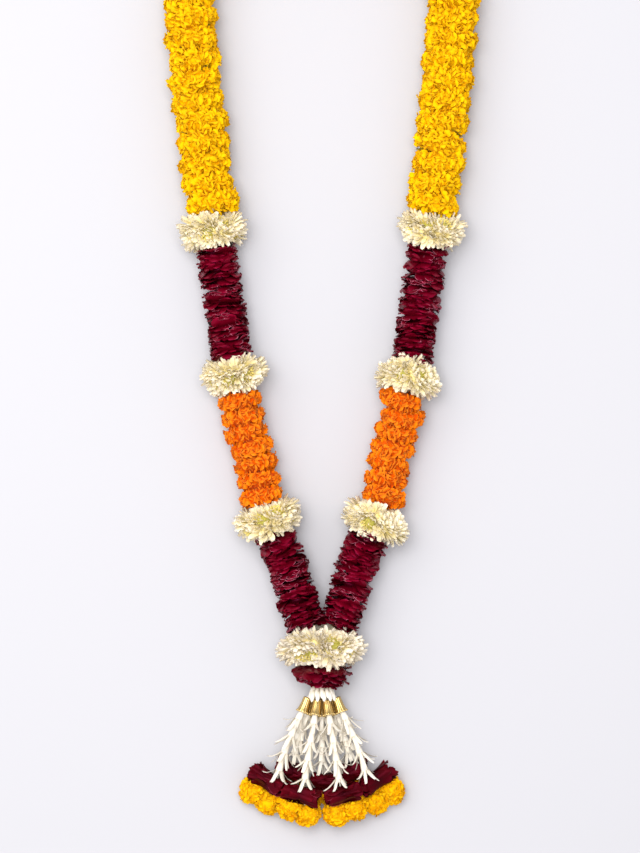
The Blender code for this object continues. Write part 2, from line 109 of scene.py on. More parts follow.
def seeded(seed: int) -> Field:
    """A field that holds a part's own source of variation, the same on each run."""
    return field(default_factory=lambda: np.random.default_rng(seed))


# ---------------------------------------------------------------- the string's route
# Points in metres, with Y measured from the tassel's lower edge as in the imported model's source.
KNOT = (0.0, 0.193, 0.033)
STRAND = (
    KNOT, (0.0185, 0.220, 0.0315), (0.0385, 0.2835, 0.0245), (0.0567, 0.3255, 0.0305),
    (0.0725, 0.3885, 0.0235), (0.0914, 0.4766, 0.0305), (0.1030, 0.5550, 0.0230),
    (0.1145, 0.6300, 0.0310), (0.1185, 0.6700, 0.0270), (0.1297, 0.7665, 0.0270),
)
NECK_Y, NECK_R, NECK_Z = 0.8826, 0.1385, 0.027
NECK_FROM = math.radians(-4.6)
NECK_POINTS = 19
STRING_R = 0.0011
ORIGIN_Y = NECK_Y + NECK_R + STRING_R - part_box("garland_string")[1].y
RING_HALF = 0.0235  # half of a chrysanthemum ring's thickness along the string


class Place(Enum):
    """A named place on the garland."""

    @property
    def word(self) -> str:
        """Its word in the names of pieces."""
        return self.name.lower()


class Side(Place):
    """A strand of the garland, with the sign of its X."""

    RIGHT = 1
    LEFT = -1


class Ring(Place):
    """A ring on a strand, with the number of its point in STRAND."""

    LOW = 3
    MIDDLE = 5
    HIGH = 7


def placed(point: tuple, side: int = 1) -> np.ndarray:
    """A point of the source's measure, or its mirror image for side -1, in the model's frame."""
    return np.array([point[0] * side, point[1] - ORIGIN_Y, point[2]])


class Route:
    """A smooth curve through points, measured by the length along it."""

    def __init__(self, points: list, per_span: int = 24) -> None:
        """Works out the curve.

        Args:
            points: The points that it passes through.
            per_span: How many steps it takes between two of them.
        """
        knots = np.array(points, float)
        padded = np.vstack([2 * knots[0] - knots[1], knots, 2 * knots[-1] - knots[-2]])
        t = np.linspace(0, 1, per_span, endpoint=False)[:, None]
        spans = []
        for a, b, c, d in zip(padded, padded[1:], padded[2:], padded[3:]):
            square, cube = 2 * a - 5 * b + 4 * c - d, 3 * b - a - 3 * c + d
            spans.append(0.5 * (2 * b + (c - a) * t + square * t**2 + cube * t**3))
        self.points = np.vstack(spans + [knots[-1:]])
        steps = np.linalg.norm(np.diff(self.points, axis=0), axis=1)
        self.lengths = np.concatenate([[0], np.cumsum(steps)])
        self.length = float(self.lengths[-1])

    def at(self, distance: float) -> np.ndarray:
        """The point at a distance along the route."""
        return np.array([np.interp(distance, self.lengths, self.points[:, i]) for i in range(3)])

    def axes(self, distance: float) -> np.ndarray:
        """Rows across the route, up from the surface and along the route, at a distance."""
        return axes_along(unit(self.at(distance + 0.001) - self.at(distance - 0.001)))

    def distance_at(self, height: float) -> float:
        """Finds where the route, rising in Y from its start, first reaches a height.

        Args:
            height: The Y, in the source's measure.

        Returns:
            The distance along the route.
        """
        y = height - ORIGIN_Y
        last = int(np.argmin(self.points[:, 1] <= y))
        share = (y - self.points[last - 1, 1]) / (self.points[last, 1] - self.points[last - 1, 1])
        return float(self.lengths[last - 1] + share * np.diff(self.lengths)[last - 1])

    def beside(self, ring: Ring, gap: float = 0.0) -> float:
        """The distance to a ring's middle, or to gap times its half thickness past it."""
        return self.distance_at(STRAND[ring.value][1]) + RING_HALF * gap


def loop_route(side: int) -> Route:
    """Lays out the loop from the knot up one side, round the neck and down the other side.

    Args:
        side: 1 to go up the right side, or -1 for the left.

    Returns:
        The route.
    """
    points = [placed(p, side) for p in STRAND]
    for angle in np.linspace(NECK_FROM, math.pi - NECK_FROM, NECK_POINTS):
        arc = (NECK_R * math.cos(angle), NECK_Y + NECK_R * math.sin(angle), NECK_Z)
        points.append(placed(arc, side))
    return Route(points + [placed(p, -side) for p in STRAND[::-1]])


# ---------------------------------------------------------------- finishes
class Signal:
    """A shader value that Python's operators work on."""

    def __init__(self, shader: "Shader", socket: bpy.types.NodeSocket) -> None:
        """Holds an output socket and the shader that it is part of."""
        self.shader, self.socket = shader, socket

    def __add__(self, other: object) -> "Signal":
        """The sum."""
        return self.shader.math("ADD", self, other)

    def __sub__(self, other: object) -> "Signal":
        """The difference."""
        return self.shader.math("SUBTRACT", self, other)

    def __rsub__(self, other: object) -> "Signal":
        """The difference, from a number."""
        return self.shader.math("SUBTRACT", other, self)

    def __mul__(self, other: object) -> "Signal":
        """The product."""
        return self.shader.math("MULTIPLY", self, other)

    __radd__, __rmul__ = __add__, __mul__


class Shader:
    """A Principled material with its nodes made from Python expressions."""

    def __init__(self, name: str, **numbers: object) -> None:
        """Makes the material.

        Args:
            name: The material's name.
            **numbers: What the surface's own sockets hold, named in small letters with _ for a
                space.
        """
        self.material = bpy.data.materials.new(name)
        self.material.use_nodes = True
        self.nodes = self.material.node_tree.nodes
        self.surface = self.nodes["Principled BSDF"]
        sockets = {socket.name.lower().replace(" ", "_"): socket for socket in self.surface.inputs}
        for word, value in numbers.items():
            sockets[word].default_value = value

    def node(self, kind: str, settings: dict, inputs: dict, output: object = 0) -> Signal:
        """Makes one node.

        Args:
            kind: The node's type.
            settings: Its own settings, which are set first.
            inputs: The values or signals of its sockets, by name or number.
            output: Which of its outputs is wanted, by name or number.

        Returns:
            That output.
        """
        node = self.nodes.new(kind)
        for word, value in settings.items():
            setattr(node, word, value)
        for key, value in inputs.items():
            self.feed(node.inputs[key], value)
        return Signal(self, node.outputs[output])

    def feed(self, socket: bpy.types.NodeSocket, value: object) -> None:
        """Gives a socket what it reads.

        Args:
            socket: The socket.
            value: A number, a colour or a signal.
        """
        if isinstance(value, Signal):
            self.material.node_tree.links.new(value.socket, socket)
        else:
            socket.default_value = value

    def math(self, operation: str, first: object, second: object = 0.0) -> Signal:
        """A Math node on two values."""
        return self.node("ShaderNodeMath", {"operation": operation}, {0: first, 1: second})

    def clamp(self, value: Signal) -> Signal:
        """The value, held between 0 and 1."""
        return self.node("ShaderNodeClamp", {}, {0: value})

    def attribute(self, name: str) -> list[Signal]:
        """Reads the three numbers that a piece's own attribute holds at a point.

        Args:
            name: The attribute's name.

        Returns:
            The three numbers.
        """
        vector = self.node("ShaderNodeAttribute", {"attribute_name": name}, {}, "Vector")
        split = self.node("ShaderNodeSeparateXYZ", {}, {0: vector})
        return [Signal(self, output) for output in split.socket.node.outputs]

    def place(self) -> Signal:
        """Where a point of the piece is."""
        return self.node("ShaderNodeTexCoord", {}, {}, "Object")

    def noise(self, vector: Signal, scale: float, detail: float = 2.0) -> Signal:
        """A soft random pattern."""
        inputs = {"Vector": vector, "Scale": scale, "Detail": detail}
        return self.node("ShaderNodeTexNoise", {}, inputs)

    def ramp(self, value: Signal, stops: list[tuple[float, tuple]]) -> Signal:
        """Reads a colour from stops.

        Args:
            value: Where to read.
            stops: The stops, each a place from 0 to 1 and a colour.

        Returns:
            The colour.
        """
        colour = self.node("ShaderNodeValToRGB", {}, {0: value})
        elements = colour.socket.node.color_ramp.elements
        while len(elements) < len(stops):
            elements.new(0.5)
        for element, (at, shade) in zip(elements, stops):
            element.position = at
            element.color = (*shade, 1.0)
        return colour

    def mix(self, share: object, first: object, second: object, way: str = "MIX") -> Signal:
        """Mixes two colours.

        Args:
            share: How much of the second is taken.
            first: The first colour.
            second: The second colour.
            way: Blender's word for how they mix.

        Returns:
            The mixed colour.
        """
        pair = [v if isinstance(v, Signal) else (*v, 1.0) for v in (first, second)]
        settings = {"data_type": "RGBA", "blend_type": way}
        return self.node("ShaderNodeMix", settings, {0: share, 6: pair[0], 7: pair[1]}, 2)

    def bump(self, height: Signal, strength: float, depth: float) -> None:
        """Relief on the surface, depth metres deep."""
        inputs = {"Height": height, "Strength": strength, "Distance": depth}
        self.feed(self.surface.inputs["Normal"], self.node("ShaderNodeBump", {}, inputs))

    def colour(self, value: Signal) -> None:
        """What feeds Base Color."""
        self.feed(self.surface.inputs["Base Color"], value)


LEAF = 0.25  # how far below a petal's root the green parts are marked


@dataclass(frozen=True)
class PetalFinish:
    """A petal's colour from its root to its tip, with streaks and a tone of its own."""

    name: str
    stops: tuple  # places along the petal, from -LEAF for green parts to 1 at the tip, and colours
    tone: tuple  # what the darkest petals are multiplied by
    deep: tuple  # the colour of its darker streaks and spots
    roughness: float = 0.6
    sheen: float = 0.0
    sheen_tint: tuple = (1.0, 1.0, 1.0)
    specular: float = 0.5
    gloss: tuple = (1.0, 1.0, 1.0)  # the tint of its highlights
    streaks: float = 0.25  # how strongly the streaks show in the colour
    relief: float = 0.0002  # how deep its streaks are, in metres
    rim: tuple = ()  # a painted glint: the pale colour painted along parts of a petal's rim, where light would catch it
    grain: tuple = (5.0, 1.6, 40.0)  # how fast streaks change across, along and between petals
    streak_scale: float = 2.4
    spot_scale: float = 55.0
    wander: float = 0.12  # how far streaks shift the colours along the petal
    tone_share: float = 0.85  # how far the darkest petals go towards tone
    contrast: float = 2.0  # how sharply streaks stand out
    shading: float = 1.55  # how much of the petal they shade
    spotting: float = 0.8  # how far spots break them up
    rim_from: float = 0.95  # how near the edge the painted glint starts
    rim_edge: float = 24.0  # how sharply it starts
    rim_gaps: float = 0.55  # how much of the rim the painted glint leaves out
    rim_patches: float = 9.0  # how sharply it stops there

    def make(self) -> bpy.types.Material:
        """Makes the material.

        Returns:
            The material.
        """
        shader = Shader(
            self.name, roughness=self.roughness, sheen_weight=self.sheen,
            sheen_tint=(*self.sheen_tint, 1.0), specular_ior_level=self.specular,
            specular_tint=(*self.gloss, 1.0),
        )
        across, along, tone = shader.attribute("petal")
        marks = zip((across, along, tone), self.grain)
        paced = {key: mark * pace for key, (mark, pace) in enumerate(marks)}
        along_lines = shader.node("ShaderNodeCombineXYZ", {}, paced)
        streak = shader.noise(along_lines, self.streak_scale, 3.0)
        spots = shader.noise(shader.place(), self.spot_scale)
        scale = 1 / (1 + LEAF)
        stops = [((at + LEAF) * scale, colour) for at, colour in self.stops]
        base = shader.ramp((along + (streak - 0.5) * self.wander) * scale + LEAF * scale, stops)
        toned = shader.mix((1.0 - tone) * self.tone_share, base, self.tone, "MULTIPLY")
        lines = streak * -self.contrast + self.shading
        shade = shader.clamp((lines + (spots - 0.5) * self.spotting) * self.streaks)
        colour = shader.mix(shade, toned, self.deep)
        # Painted glint: a pale colour along parts of the petal's rim, where light would catch its
        # edge.
        if self.rim:
            edge = shader.math("MAXIMUM", along, shader.math("ABSOLUTE", across))
            near = (edge - self.rim_from) * self.rim_edge
            patchy = (spots - self.rim_gaps) * self.rim_patches
            lit = shader.clamp(shader.math("MINIMUM", near, patchy))
            colour = shader.mix(lit, colour, self.rim)
        shader.colour(colour)
        shader.bump(streak * 0.8 + spots * 0.2, 0.7, self.relief)
        return shader.material


@dataclass(frozen=True)
class GiltFinish:
    """Polished gilt, with painted shade in the hollows between its ribs."""

    name: str = "gilt"
    bright: tuple = (0.72, 0.54, 0.24)
    # painted shade, for the hollows between the ribs
    hollow_shade: tuple = (0.42, 0.26, 0.06)
    grain: float = 900.0
    polish: float = 0.14  # its least roughness
    worn: float = 0.16  # how much rougher it is where it is worn
    hollow_shadeed: float = 0.2  # and in its hollows

    def make(self) -> bpy.types.Material:
        """Makes the material.

        Returns:
            The material.
        """
        shader = Shader(self.name, metallic=1.0, roughness=0.25)
        _, depth, _ = shader.attribute("petal")
        wear = shader.noise(shader.place(), self.grain, 3.0)
        # Painted shade: the gilt darkens in the hollows between its ribs.
        shader.colour(shader.mix(depth, self.bright, self.hollow_shade))
        rough = self.polish + wear * self.worn + depth * self.hollow_shadeed
        shader.feed(shader.surface.inputs["Roughness"], rough)
        shader.bump(wear, 0.25, 0.0001)
        return shader.material


@dataclass(frozen=True)
class CottonFinish:
    """Twisted cotton thread."""

    name: str = "cotton"
    colour: tuple = (0.80, 0.76, 0.64)
    hollow: float = 0.6  # how dark the painted shade in the hollows between its strands is
    grain: float = 1400.0

    def make(self) -> bpy.types.Material:
        """Makes the material.

        Returns:
            The material.
        """
        shader = Shader(self.name, roughness=0.9)
        twist = shader.noise(shader.place(), self.grain)
        dark = tuple(self.hollow * c for c in self.colour)
        # Painted shade: a noise darkens the thread where the hollows between its strands lie.
        shader.colour(shader.mix(twist * 0.6, self.colour, dark))
        shader.bump(twist, 0.6, 0.0002)
        return shader.material


@dataclass(frozen=True)
class FloorFinish:
    """Plain pale matt board."""

    name: str = "board"
    colour: tuple = (0.516, 0.512, 0.530)
    shade: tuple = (0.486, 0.480, 0.506)

    def make(self) -> bpy.types.Material:
        """Makes the material.

        Returns:
            The material.
        """
        shader = Shader(self.name, roughness=0.9, specular_ior_level=0.1)
        grain = shader.noise(shader.place(), 3.0, 4.0)
        shader.colour(shader.mix(grain * 0.05, self.colour, self.shade))
        return shader.material


def marigold_finish(name: str, back: tuple, stops: tuple, tone: tuple, deep: tuple,
                    sheen_tint: tuple) -> PetalFinish:
    """The finish of a marigold: matt petals with a velvet sheen, and green sepals.

    Args:
        name: The material's name.
        back: The colour of the sepals' upper ends.
        stops: The petals' colours from root to tip, each with its place.
        tone: What the darkest petals are multiplied by.
        deep: The colour of its darker streaks and spots.
        sheen_tint: The sheen's colour.

    Returns:
        The finish.
    """
    green = ((-LEAF, (0.16, 0.22, 0.03)), (-0.05, back))
    return PetalFinish(name, green + stops, tone, deep, roughness=0.6, specular=0.02, sheen=0.4,
                       sheen_tint=sheen_tint)


FINISHES = {
    # The yellow petals are painted lighter at the root than at the tip: painted light that lifts
    # the shade in the crevices between them.
    "yellow": marigold_finish(
        "yellow_petals", (0.25, 0.22, 0.02),
        ((0.05, (0.98, 0.62, 0.0)), (0.30, (0.96, 0.63, 0.001)), (0.60, (0.88, 0.55, 0.002)),
         (1.0, (0.80, 0.455, 0.005))),
        tone=(0.99, 0.94, 0.7), deep=(0.92, 0.40, 0.0), sheen_tint=(1.0, 0.7, 0.05)),
    # The orange petals' darker red roots are painted shade in the creases between them.
    "orange": marigold_finish(
        "orange_petals", (0.20, 0.16, 0.02),
        ((0.05, (0.74, 0.09, 0.0)), (0.30, (0.88, 0.21, 0.001)), (0.60, (0.87, 0.235, 0.003)),
         (1.0, (0.84, 0.255, 0.016))),
        tone=(0.98, 0.84, 0.6), deep=(0.55, 0.02, 0.0), sheen_tint=(1.0, 0.4, 0.12)),
    # The small marigolds' roots are painted a little lighter than their tips: painted light that
    # lifts the shade in their crevices.
    "small": marigold_finish(
        "small_marigold_petals", (0.25, 0.22, 0.02),
        ((0.05, (0.90, 0.50, 0.0)), (0.30, (0.90, 0.53, 0.001)), (0.60, (0.87, 0.50, 0.002)),
         (1.0, (0.83, 0.45, 0.008))),
        tone=(0.99, 0.93, 0.6), deep=(0.90, 0.38, 0.0), sheen_tint=(1.0, 0.7, 0.05)),
    "white": PetalFinish(
        "white_petals",
        ((-LEAF, (0.10, 0.11, 0.02)), (-0.03, (0.30, 0.32, 0.04)), (0.06, (0.76, 0.60, 0.13)),
         (0.22, (0.87, 0.76, 0.28)), (0.50, (0.93, 0.84, 0.54)), (1.0, (0.92, 0.85, 0.75))),
        tone=(0.99, 0.96, 0.84), deep=(0.82, 0.72, 0.36), roughness=0.5, specular=0.10,
        streaks=0.10),
    # Round the petals' own maroon, the darker roots are painted shade in the creases at the
    # string, the lighter tips a painted sheen, and the rim colour a painted glint.
    "rose": PetalFinish(
        "rose_petals",
        ((-LEAF, (0.03, 0.0, 0.003)), (-0.05, (0.03, 0.0, 0.003)),
         (0.10, (0.070, 0.0005, 0.0045)), (0.50, (0.155, 0.0005, 0.0095)),
         (1.0, (0.235, 0.0010, 0.0165))),
        tone=(0.50, 0.40, 0.45), deep=(0.09, 0.0, 0.006), roughness=0.36, specular=0.45,
        gloss=(1.0, 0.08, 0.30), streaks=0.35, relief=0.0005, rim=(0.74, 0.22, 0.32)),
    # The rolled petals' rim colour is a painted glint.
    "roll": PetalFinish(
        "rolled_rose_petals",
        ((-LEAF, (0.02, 0.0, 0.001)), (-0.05, (0.02, 0.0, 0.001)),
         (0.10, (0.028, 0.0004, 0.0010)), (0.50, (0.066, 0.0005, 0.0022)),
         (1.0, (0.115, 0.0008, 0.0046))),
        tone=(0.50, 0.45, 0.45), deep=(0.04, 0.0, 0.001), roughness=0.42, specular=0.25,
        gloss=(1.0, 0.10, 0.22), streaks=0.35, relief=0.0005, rim=(0.42, 0.06, 0.10)),
    # The lightest colours, towards the tip, serve the back strands: painted light against the
    # shade that the front strands cast.
    "tuberose": PetalFinish(
        "tuberose_petals",
        ((-LEAF, (0.45, 0.50, 0.20)), (-0.05, (0.66, 0.64, 0.38)), (0.05, (0.78, 0.72, 0.50)),
         (0.30, (0.80, 0.74, 0.62)), (0.60, (0.86, 0.81, 0.72)), (1.0, (0.98, 0.94, 0.84))),
        tone=(0.98, 0.96, 0.91), deep=(0.82, 0.74, 0.54), roughness=0.4, specular=0.12,
        streaks=0.06, relief=0.0001),
    "gilt": GiltFinish(),
}


# ---------------------------------------------------------------- shapes
NEAR = 0.01  # how close a mark has to be to its row's or column's
PRESS = 0.0045  # height under which petals are squeezed against the surface
RIM = math.radians(80)  # an edge sharper than this, such as a petal's rim, isn't shaded smooth


@dataclass(frozen=True)
class Model:
    """A shape modelled once.

    Its points hold x across, y from root to tip and z out of its upper face. marks are each
    point's place on the petal: -1 to 1 across, and 0 to 1 from root to tip.
    """

    points: np.ndarray
    faces: np.ndarray
    marks: np.ndarray
    straight: float = 0.0  # the share of its length that doesn't roll up

    def marked(self, stretch: float, shift: float = 0.0, across: float = 1.0) -> "Model":
        """Makes the same shape with other marks.

        Args:
            stretch: What its marks from root to tip are multiplied by.
            shift: What is then added to them.
            across: What its marks across are multiplied by.

        Returns:
            The shape.
        """
        return replace(self, marks=self.marks * (across, stretch, 1) + (0, shift, 0))

    def plain(self, mark: float = 0.0) -> "Model":
        """The same shape with one mark, and so one colour, all over."""
        return self.marked(0.0, mark, 0.0)


def added(primitive: Callable[..., set[str]], **settings: object) -> bpy.types.Object:
    """Adds a primitive at the origin, as the one selected object.

    Args:
        primitive: Blender's operator for it.
        **settings: What the operator is told.

    Returns:
        The object.
    """
    bpy.ops.object.select_all(action="DESELECT")
    primitive(location=(0, 0, 0), **settings)
    return bpy.context.object


def taken(ob: bpy.types.Object, straight: float = 0.0) -> Model:
    """Reads a modelled object's closed shape, with its faces outwards, and removes the object.

    Args:
        ob: The object, whose mark attribute holds its marks.
        straight: The share of its length that doesn't roll up.

    Returns:
        The shape.
    """
    mesh = ob.data
    points = np.array([v.co[:] for v in mesh.vertices])
    marks = np.array([m.vector[:] for m in mesh.attributes["mark"].data])
    faces = np.array([list(p.vertices) for p in mesh.polygons])
    corners = points[faces]
    areas = np.cross(corners[:, 2] - corners[:, 0], corners[:, -1] - corners[:, 1])
    if np.sum(corners.mean(axis=1) * areas) < 0:
        faces = faces[:, ::-1]
    bpy.data.objects.remove(ob)
    bpy.data.meshes.remove(mesh)
    return Model(points, faces, marks, straight)


@dataclass(frozen=True)
class PetalShape:
    """A thin closed petal of unit length, modelled from a grid by moving its rows.

    Each row is its distance from the root, its half width and its lift. ruffle lifts each column
    towards the tip, and notch sets how far each column's end lies from the straight.
    """

    rows: tuple
    columns: int
    thickness: float
    cup: float  # how far its sides rise
    ruffle: tuple = ()
    notch: tuple = ()
    straight: float = 0.0

    def select(self, work: bmesh.types.BMesh,
               wanted: Callable[[bmesh.types.BMVert], bool]) -> None:
        """Selects points.

        Args:
            work: The petal.
            wanted: A function that says of a point whether it is selected.
        """
        for point in work.verts:
            point.select_set(bool(wanted(point)))
        work.select_flush_mode()

    def model(self) -> Model:
        """Models the petal with Blender's edit operators.

        Returns:
            The petal's shape, closed on all sides.
        """
        last = len(self.rows) - 1
        ob = added(bpy.ops.mesh.primitive_grid_add, x_subdivisions=self.columns,
                   y_subdivisions=last, size=2.0)
        mark = ob.data.attributes.new("mark", "FLOAT_VECTOR", "POINT")
        for index, point in enumerate(ob.data.vertices):
            mark.data[index].vector = (point.co.x, point.co.y / 2 + 0.5, 0.0)
        bpy.ops.object.mode_set(mode="EDIT")
        bpy.ops.mesh.select_mode(type="VERT")
        work = bmesh.from_edit_mesh(ob.data)
        for number, row in enumerate(self.rows):
            self.shape(work, number / last, *row)
        self.close(work)
        bpy.ops.object.mode_set(mode="OBJECT")
        return taken(ob, self.straight)

    def shape(self, work: bmesh.types.BMesh, share: float, reach: float, half: float,
              lift: float) -> None:
        """Moves one row of the grid to its place and width, and then its points one by one.

        Args:
            work: The grid.
            share: Which row, from 0 at the root to 1 at the tip.
            reach: Its distance from the root.
            half: Its half width.
            lift: Its height.
        """
        layer = work.verts.layers.float_vector["mark"]
        self.select(work, lambda p: abs(p[layer].y - share) < NEAR)
        bpy.ops.transform.resize(value=(half, 1, 1), center_override=(0, 0, 0))
        bpy.ops.transform.translate(value=(0, reach - (2 * share - 1), lift))
        for column in range(self.columns + 1):
            across = 2 * column / self.columns - 1
            wave = self.ruffle[column] * share**2 if self.ruffle else 0.0
            end = self.notch[column] * share**3 if self.notch else 0.0
            rise = self.cup * across**2 * share
            if wave or end or rise:
                self.select(work, lambda p: abs(p[layer].y - share) < NEAR
                            and abs(p[layer].x - across) < NEAR)
                bpy.ops.transform.translate(value=(0, end, wave + rise))

    def close(self, work: bmesh.types.BMesh) -> None:
        """Gives the sheet a lower face that meets the upper one at the petal's edge.

        Args:
            work: The sheet.
        """
        inner = {point.index for point in work.verts if not point.is_boundary}
        total = len(work.verts)
        bpy.ops.mesh.select_all(action="SELECT")
        bpy.ops.mesh.duplicate()
        bpy.ops.mesh.flip_normals()
        work.verts.index_update()
        work.verts.ensure_lookup_table()
        self.select(work, lambda p: p.index >= total and p.index - total in inner)
        bpy.ops.transform.translate(value=(0, 0, -self.thickness))
        bpy.ops.mesh.select_all(action="SELECT")
        bpy.ops.mesh.remove_doubles(threshold=1e-5)
        bpy.ops.mesh.normals_make_consistent(inside=False)


def finished(ob: bpy.types.Object) -> Model:
    """Splits a solid's faces into triangles, turns them outwards and reads its shape.

    Args:
        ob: The modelled solid.

    Returns:
        The shape, marked by the angle about y and by y.
    """
    bpy.ops.object.mode_set(mode="EDIT")
    bpy.ops.mesh.select_all(action="SELECT")
    bpy.ops.mesh.quads_convert_to_tris()
    bpy.ops.mesh.normals_make_consistent(inside=False)
    bpy.ops.object.mode_set(mode="OBJECT")
    mark = ob.data.attributes.new("mark", "FLOAT_VECTOR", "POINT")
    for index, point in enumerate(ob.data.vertices):
        angle = math.atan2(point.co.z, point.co.x) / math.pi
        mark.data[index].vector = (angle, point.co.y, 0.0)
    return taken(ob)


def make_ball() -> Model:
    """A ball of radius one."""
    return finished(added(bpy.ops.mesh.primitive_ico_sphere_add, subdivisions=2, radius=1.0))


@dataclass(frozen=True)
class TurnedShape:
    """A small closed solid turned about y, modelled with Blender's edit operators."""

    sides: int
    start: float  # the first ring's radius
    profile: tuple  # the rings after it, each a height and a radius
    hollow: tuple  # the rings of the inside, from the mouth down

    def model(self) -> Model:
        """Models the shape from its root at y = 0 along +y, by extruding ring after ring.

        Returns:
            The shape.
        """
        ob = added(bpy.ops.mesh.primitive_circle_add, vertices=self.sides, radius=self.start,
                   fill_type="NGON", rotation=(-math.pi / 2, 0, 0))
        bpy.ops.object.transform_apply(location=True, rotation=True, scale=True)
        bpy.ops.object.mode_set(mode="EDIT")
        bpy.ops.mesh.select_all(action="SELECT")
        height, radius = 0.0, self.start
        for next_height, next_radius in self.profile + self.hollow:
            bpy.ops.mesh.extrude_region_move(
                TRANSFORM_OT_translate={"value": (0, next_height - height, 0)})
            ratio = next_radius / radius
            bpy.ops.transform.resize(
                value=(ratio, 1, ratio), center_override=(0, next_height, 0))
            height, radius = next_height, next_radius
        bpy.ops.object.mode_set(mode="OBJECT")
        return finished(ob)


MARIGOLD_PETAL = PetalShape(
    rows=((0.0, 0.28, 0.0), (0.45, 0.44, 0.0), (0.78, 0.50, 0.0), (1.0, 0.34, 0.0)),
    columns=3, ruffle=(0.06, -0.08, 0.08, -0.05), cup=0.02,
    notch=(-0.13, -0.01, 0.0, -0.11), thickness=0.04, straight=0.28,
)
RAY_PETAL = PetalShape(
    rows=((0.0, 0.24, 0.0), (0.45, 0.42, 0.0), (0.82, 0.50, 0.0), (1.0, 0.31, 0.0)),
    columns=2, cup=0.06, notch=(-0.02, 0.0, -0.02), thickness=0.03,
)
ROSE_PETAL = PetalShape(
    rows=((0.0, 0.16, 0.0), (0.34, 0.38, 0.0), (0.60, 0.50, 0.01), (0.80, 0.48, 0.02),
          (0.93, 0.36, 0.0), (1.0, 0.18, -0.05)),
    columns=6, ruffle=(0.03, -0.04, 0.0, 0.05, -0.03, -0.03, 0.04), cup=0.04,
    notch=(-0.04, -0.03, 0.01, 0.03, -0.02, -0.04, -0.02), thickness=0.012,
)
FINGER_PETAL = PetalShape(
    rows=((0.0, 0.46, 0.0), (0.28, 0.50, 0.0), (0.60, 0.48, 0.0), (0.86, 0.42, 0.0),
          (1.0, 0.20, 0.0)),
    columns=2, cup=0.05, thickness=0.035, straight=0.28,
)
FLORET_TUBE = TurnedShape(
    sides=8, start=0.50,
    profile=((0.15, 0.58), (0.45, 0.72), (0.70, 0.92), (0.88, 1.0), (1.0, 0.86)),
    hollow=((0.97, 0.74), (0.80, 0.60), (0.60, 0.30)),
)
BELL = TurnedShape(
    sides=48, start=0.45,
    profile=((0.02, 0.62), (0.07, 0.68), (0.12, 0.66), (0.20, 0.69), (0.45, 0.73), (0.70, 0.82),
             (0.88, 0.93), (0.95, 1.0), (1.0, 1.0)),
    hollow=((1.0, 0.90), (0.70, 0.72), (0.20, 0.55)),
)


# ---------------------------------------------------------------- gathering copies into pieces
def bent(points: np.ndarray, bend: np.ndarray, straight: float) -> np.ndarray:
    """Makes copies of a shape, each rolled up along its length.

    Args:
        points: One shape's points, of unit length along y.
        bend: Each copy's angle from root to tip, in radians.
        straight: The share of its length, from the root, that stays straight.

    Returns:
        An array of the copies' points.
    """
    curve = np.where(np.abs(bend) < 1e-3, 1e-3, bend)[:, None] / (1 - straight)
    x, y, z = points.T
    angle = curve * np.maximum(y - straight, 0)
    along = np.minimum(y, straight) + np.sin(angle) / curve - z * np.sin(angle)
    rise = (1 - np.cos(angle)) / curve + z * np.cos(angle)
    return np.stack([np.broadcast_to(x, along.shape), along, rise], axis=-1)


def pressed(points: np.ndarray) -> np.ndarray:
    """Squeezes what would pass through the surface flat above it.

    Args:
        points: A piece's points, which are changed.

    Returns:
        The same points.
    """
    z = points[:, 2]
    points[:, 2] = np.where(z < PRESS, PRESS * np.exp((z - PRESS) / PRESS), z)
    return points


def outward(faces: np.ndarray, axes: np.ndarray) -> np.ndarray:
    """A shape's faces, turned round where the axes that it is set on mirror it."""
    return faces[:, ::-1] if np.linalg.det(axes) < 0 else faces


@dataclass
class Spray:
    """Petals that share a root, each with a direction, a facing and a size of its own."""

    roots: np.ndarray
    ways: np.ndarray
    facings: np.ndarray
    sizes: np.ndarray  # width, length and depth
    bends: np.ndarray
    tones: np.ndarray

    def rolled(self, angles: np.ndarray) -> "Spray":
        """Turns each petal about its own length.

        Args:
            angles: How far each turns.

        Returns:
            The same spray.
        """
        side = np.cross(self.ways, self.facings)
        turn = angles[:, None]
        self.facings = self.facings * np.cos(turn) + side * np.sin(turn)
        return self


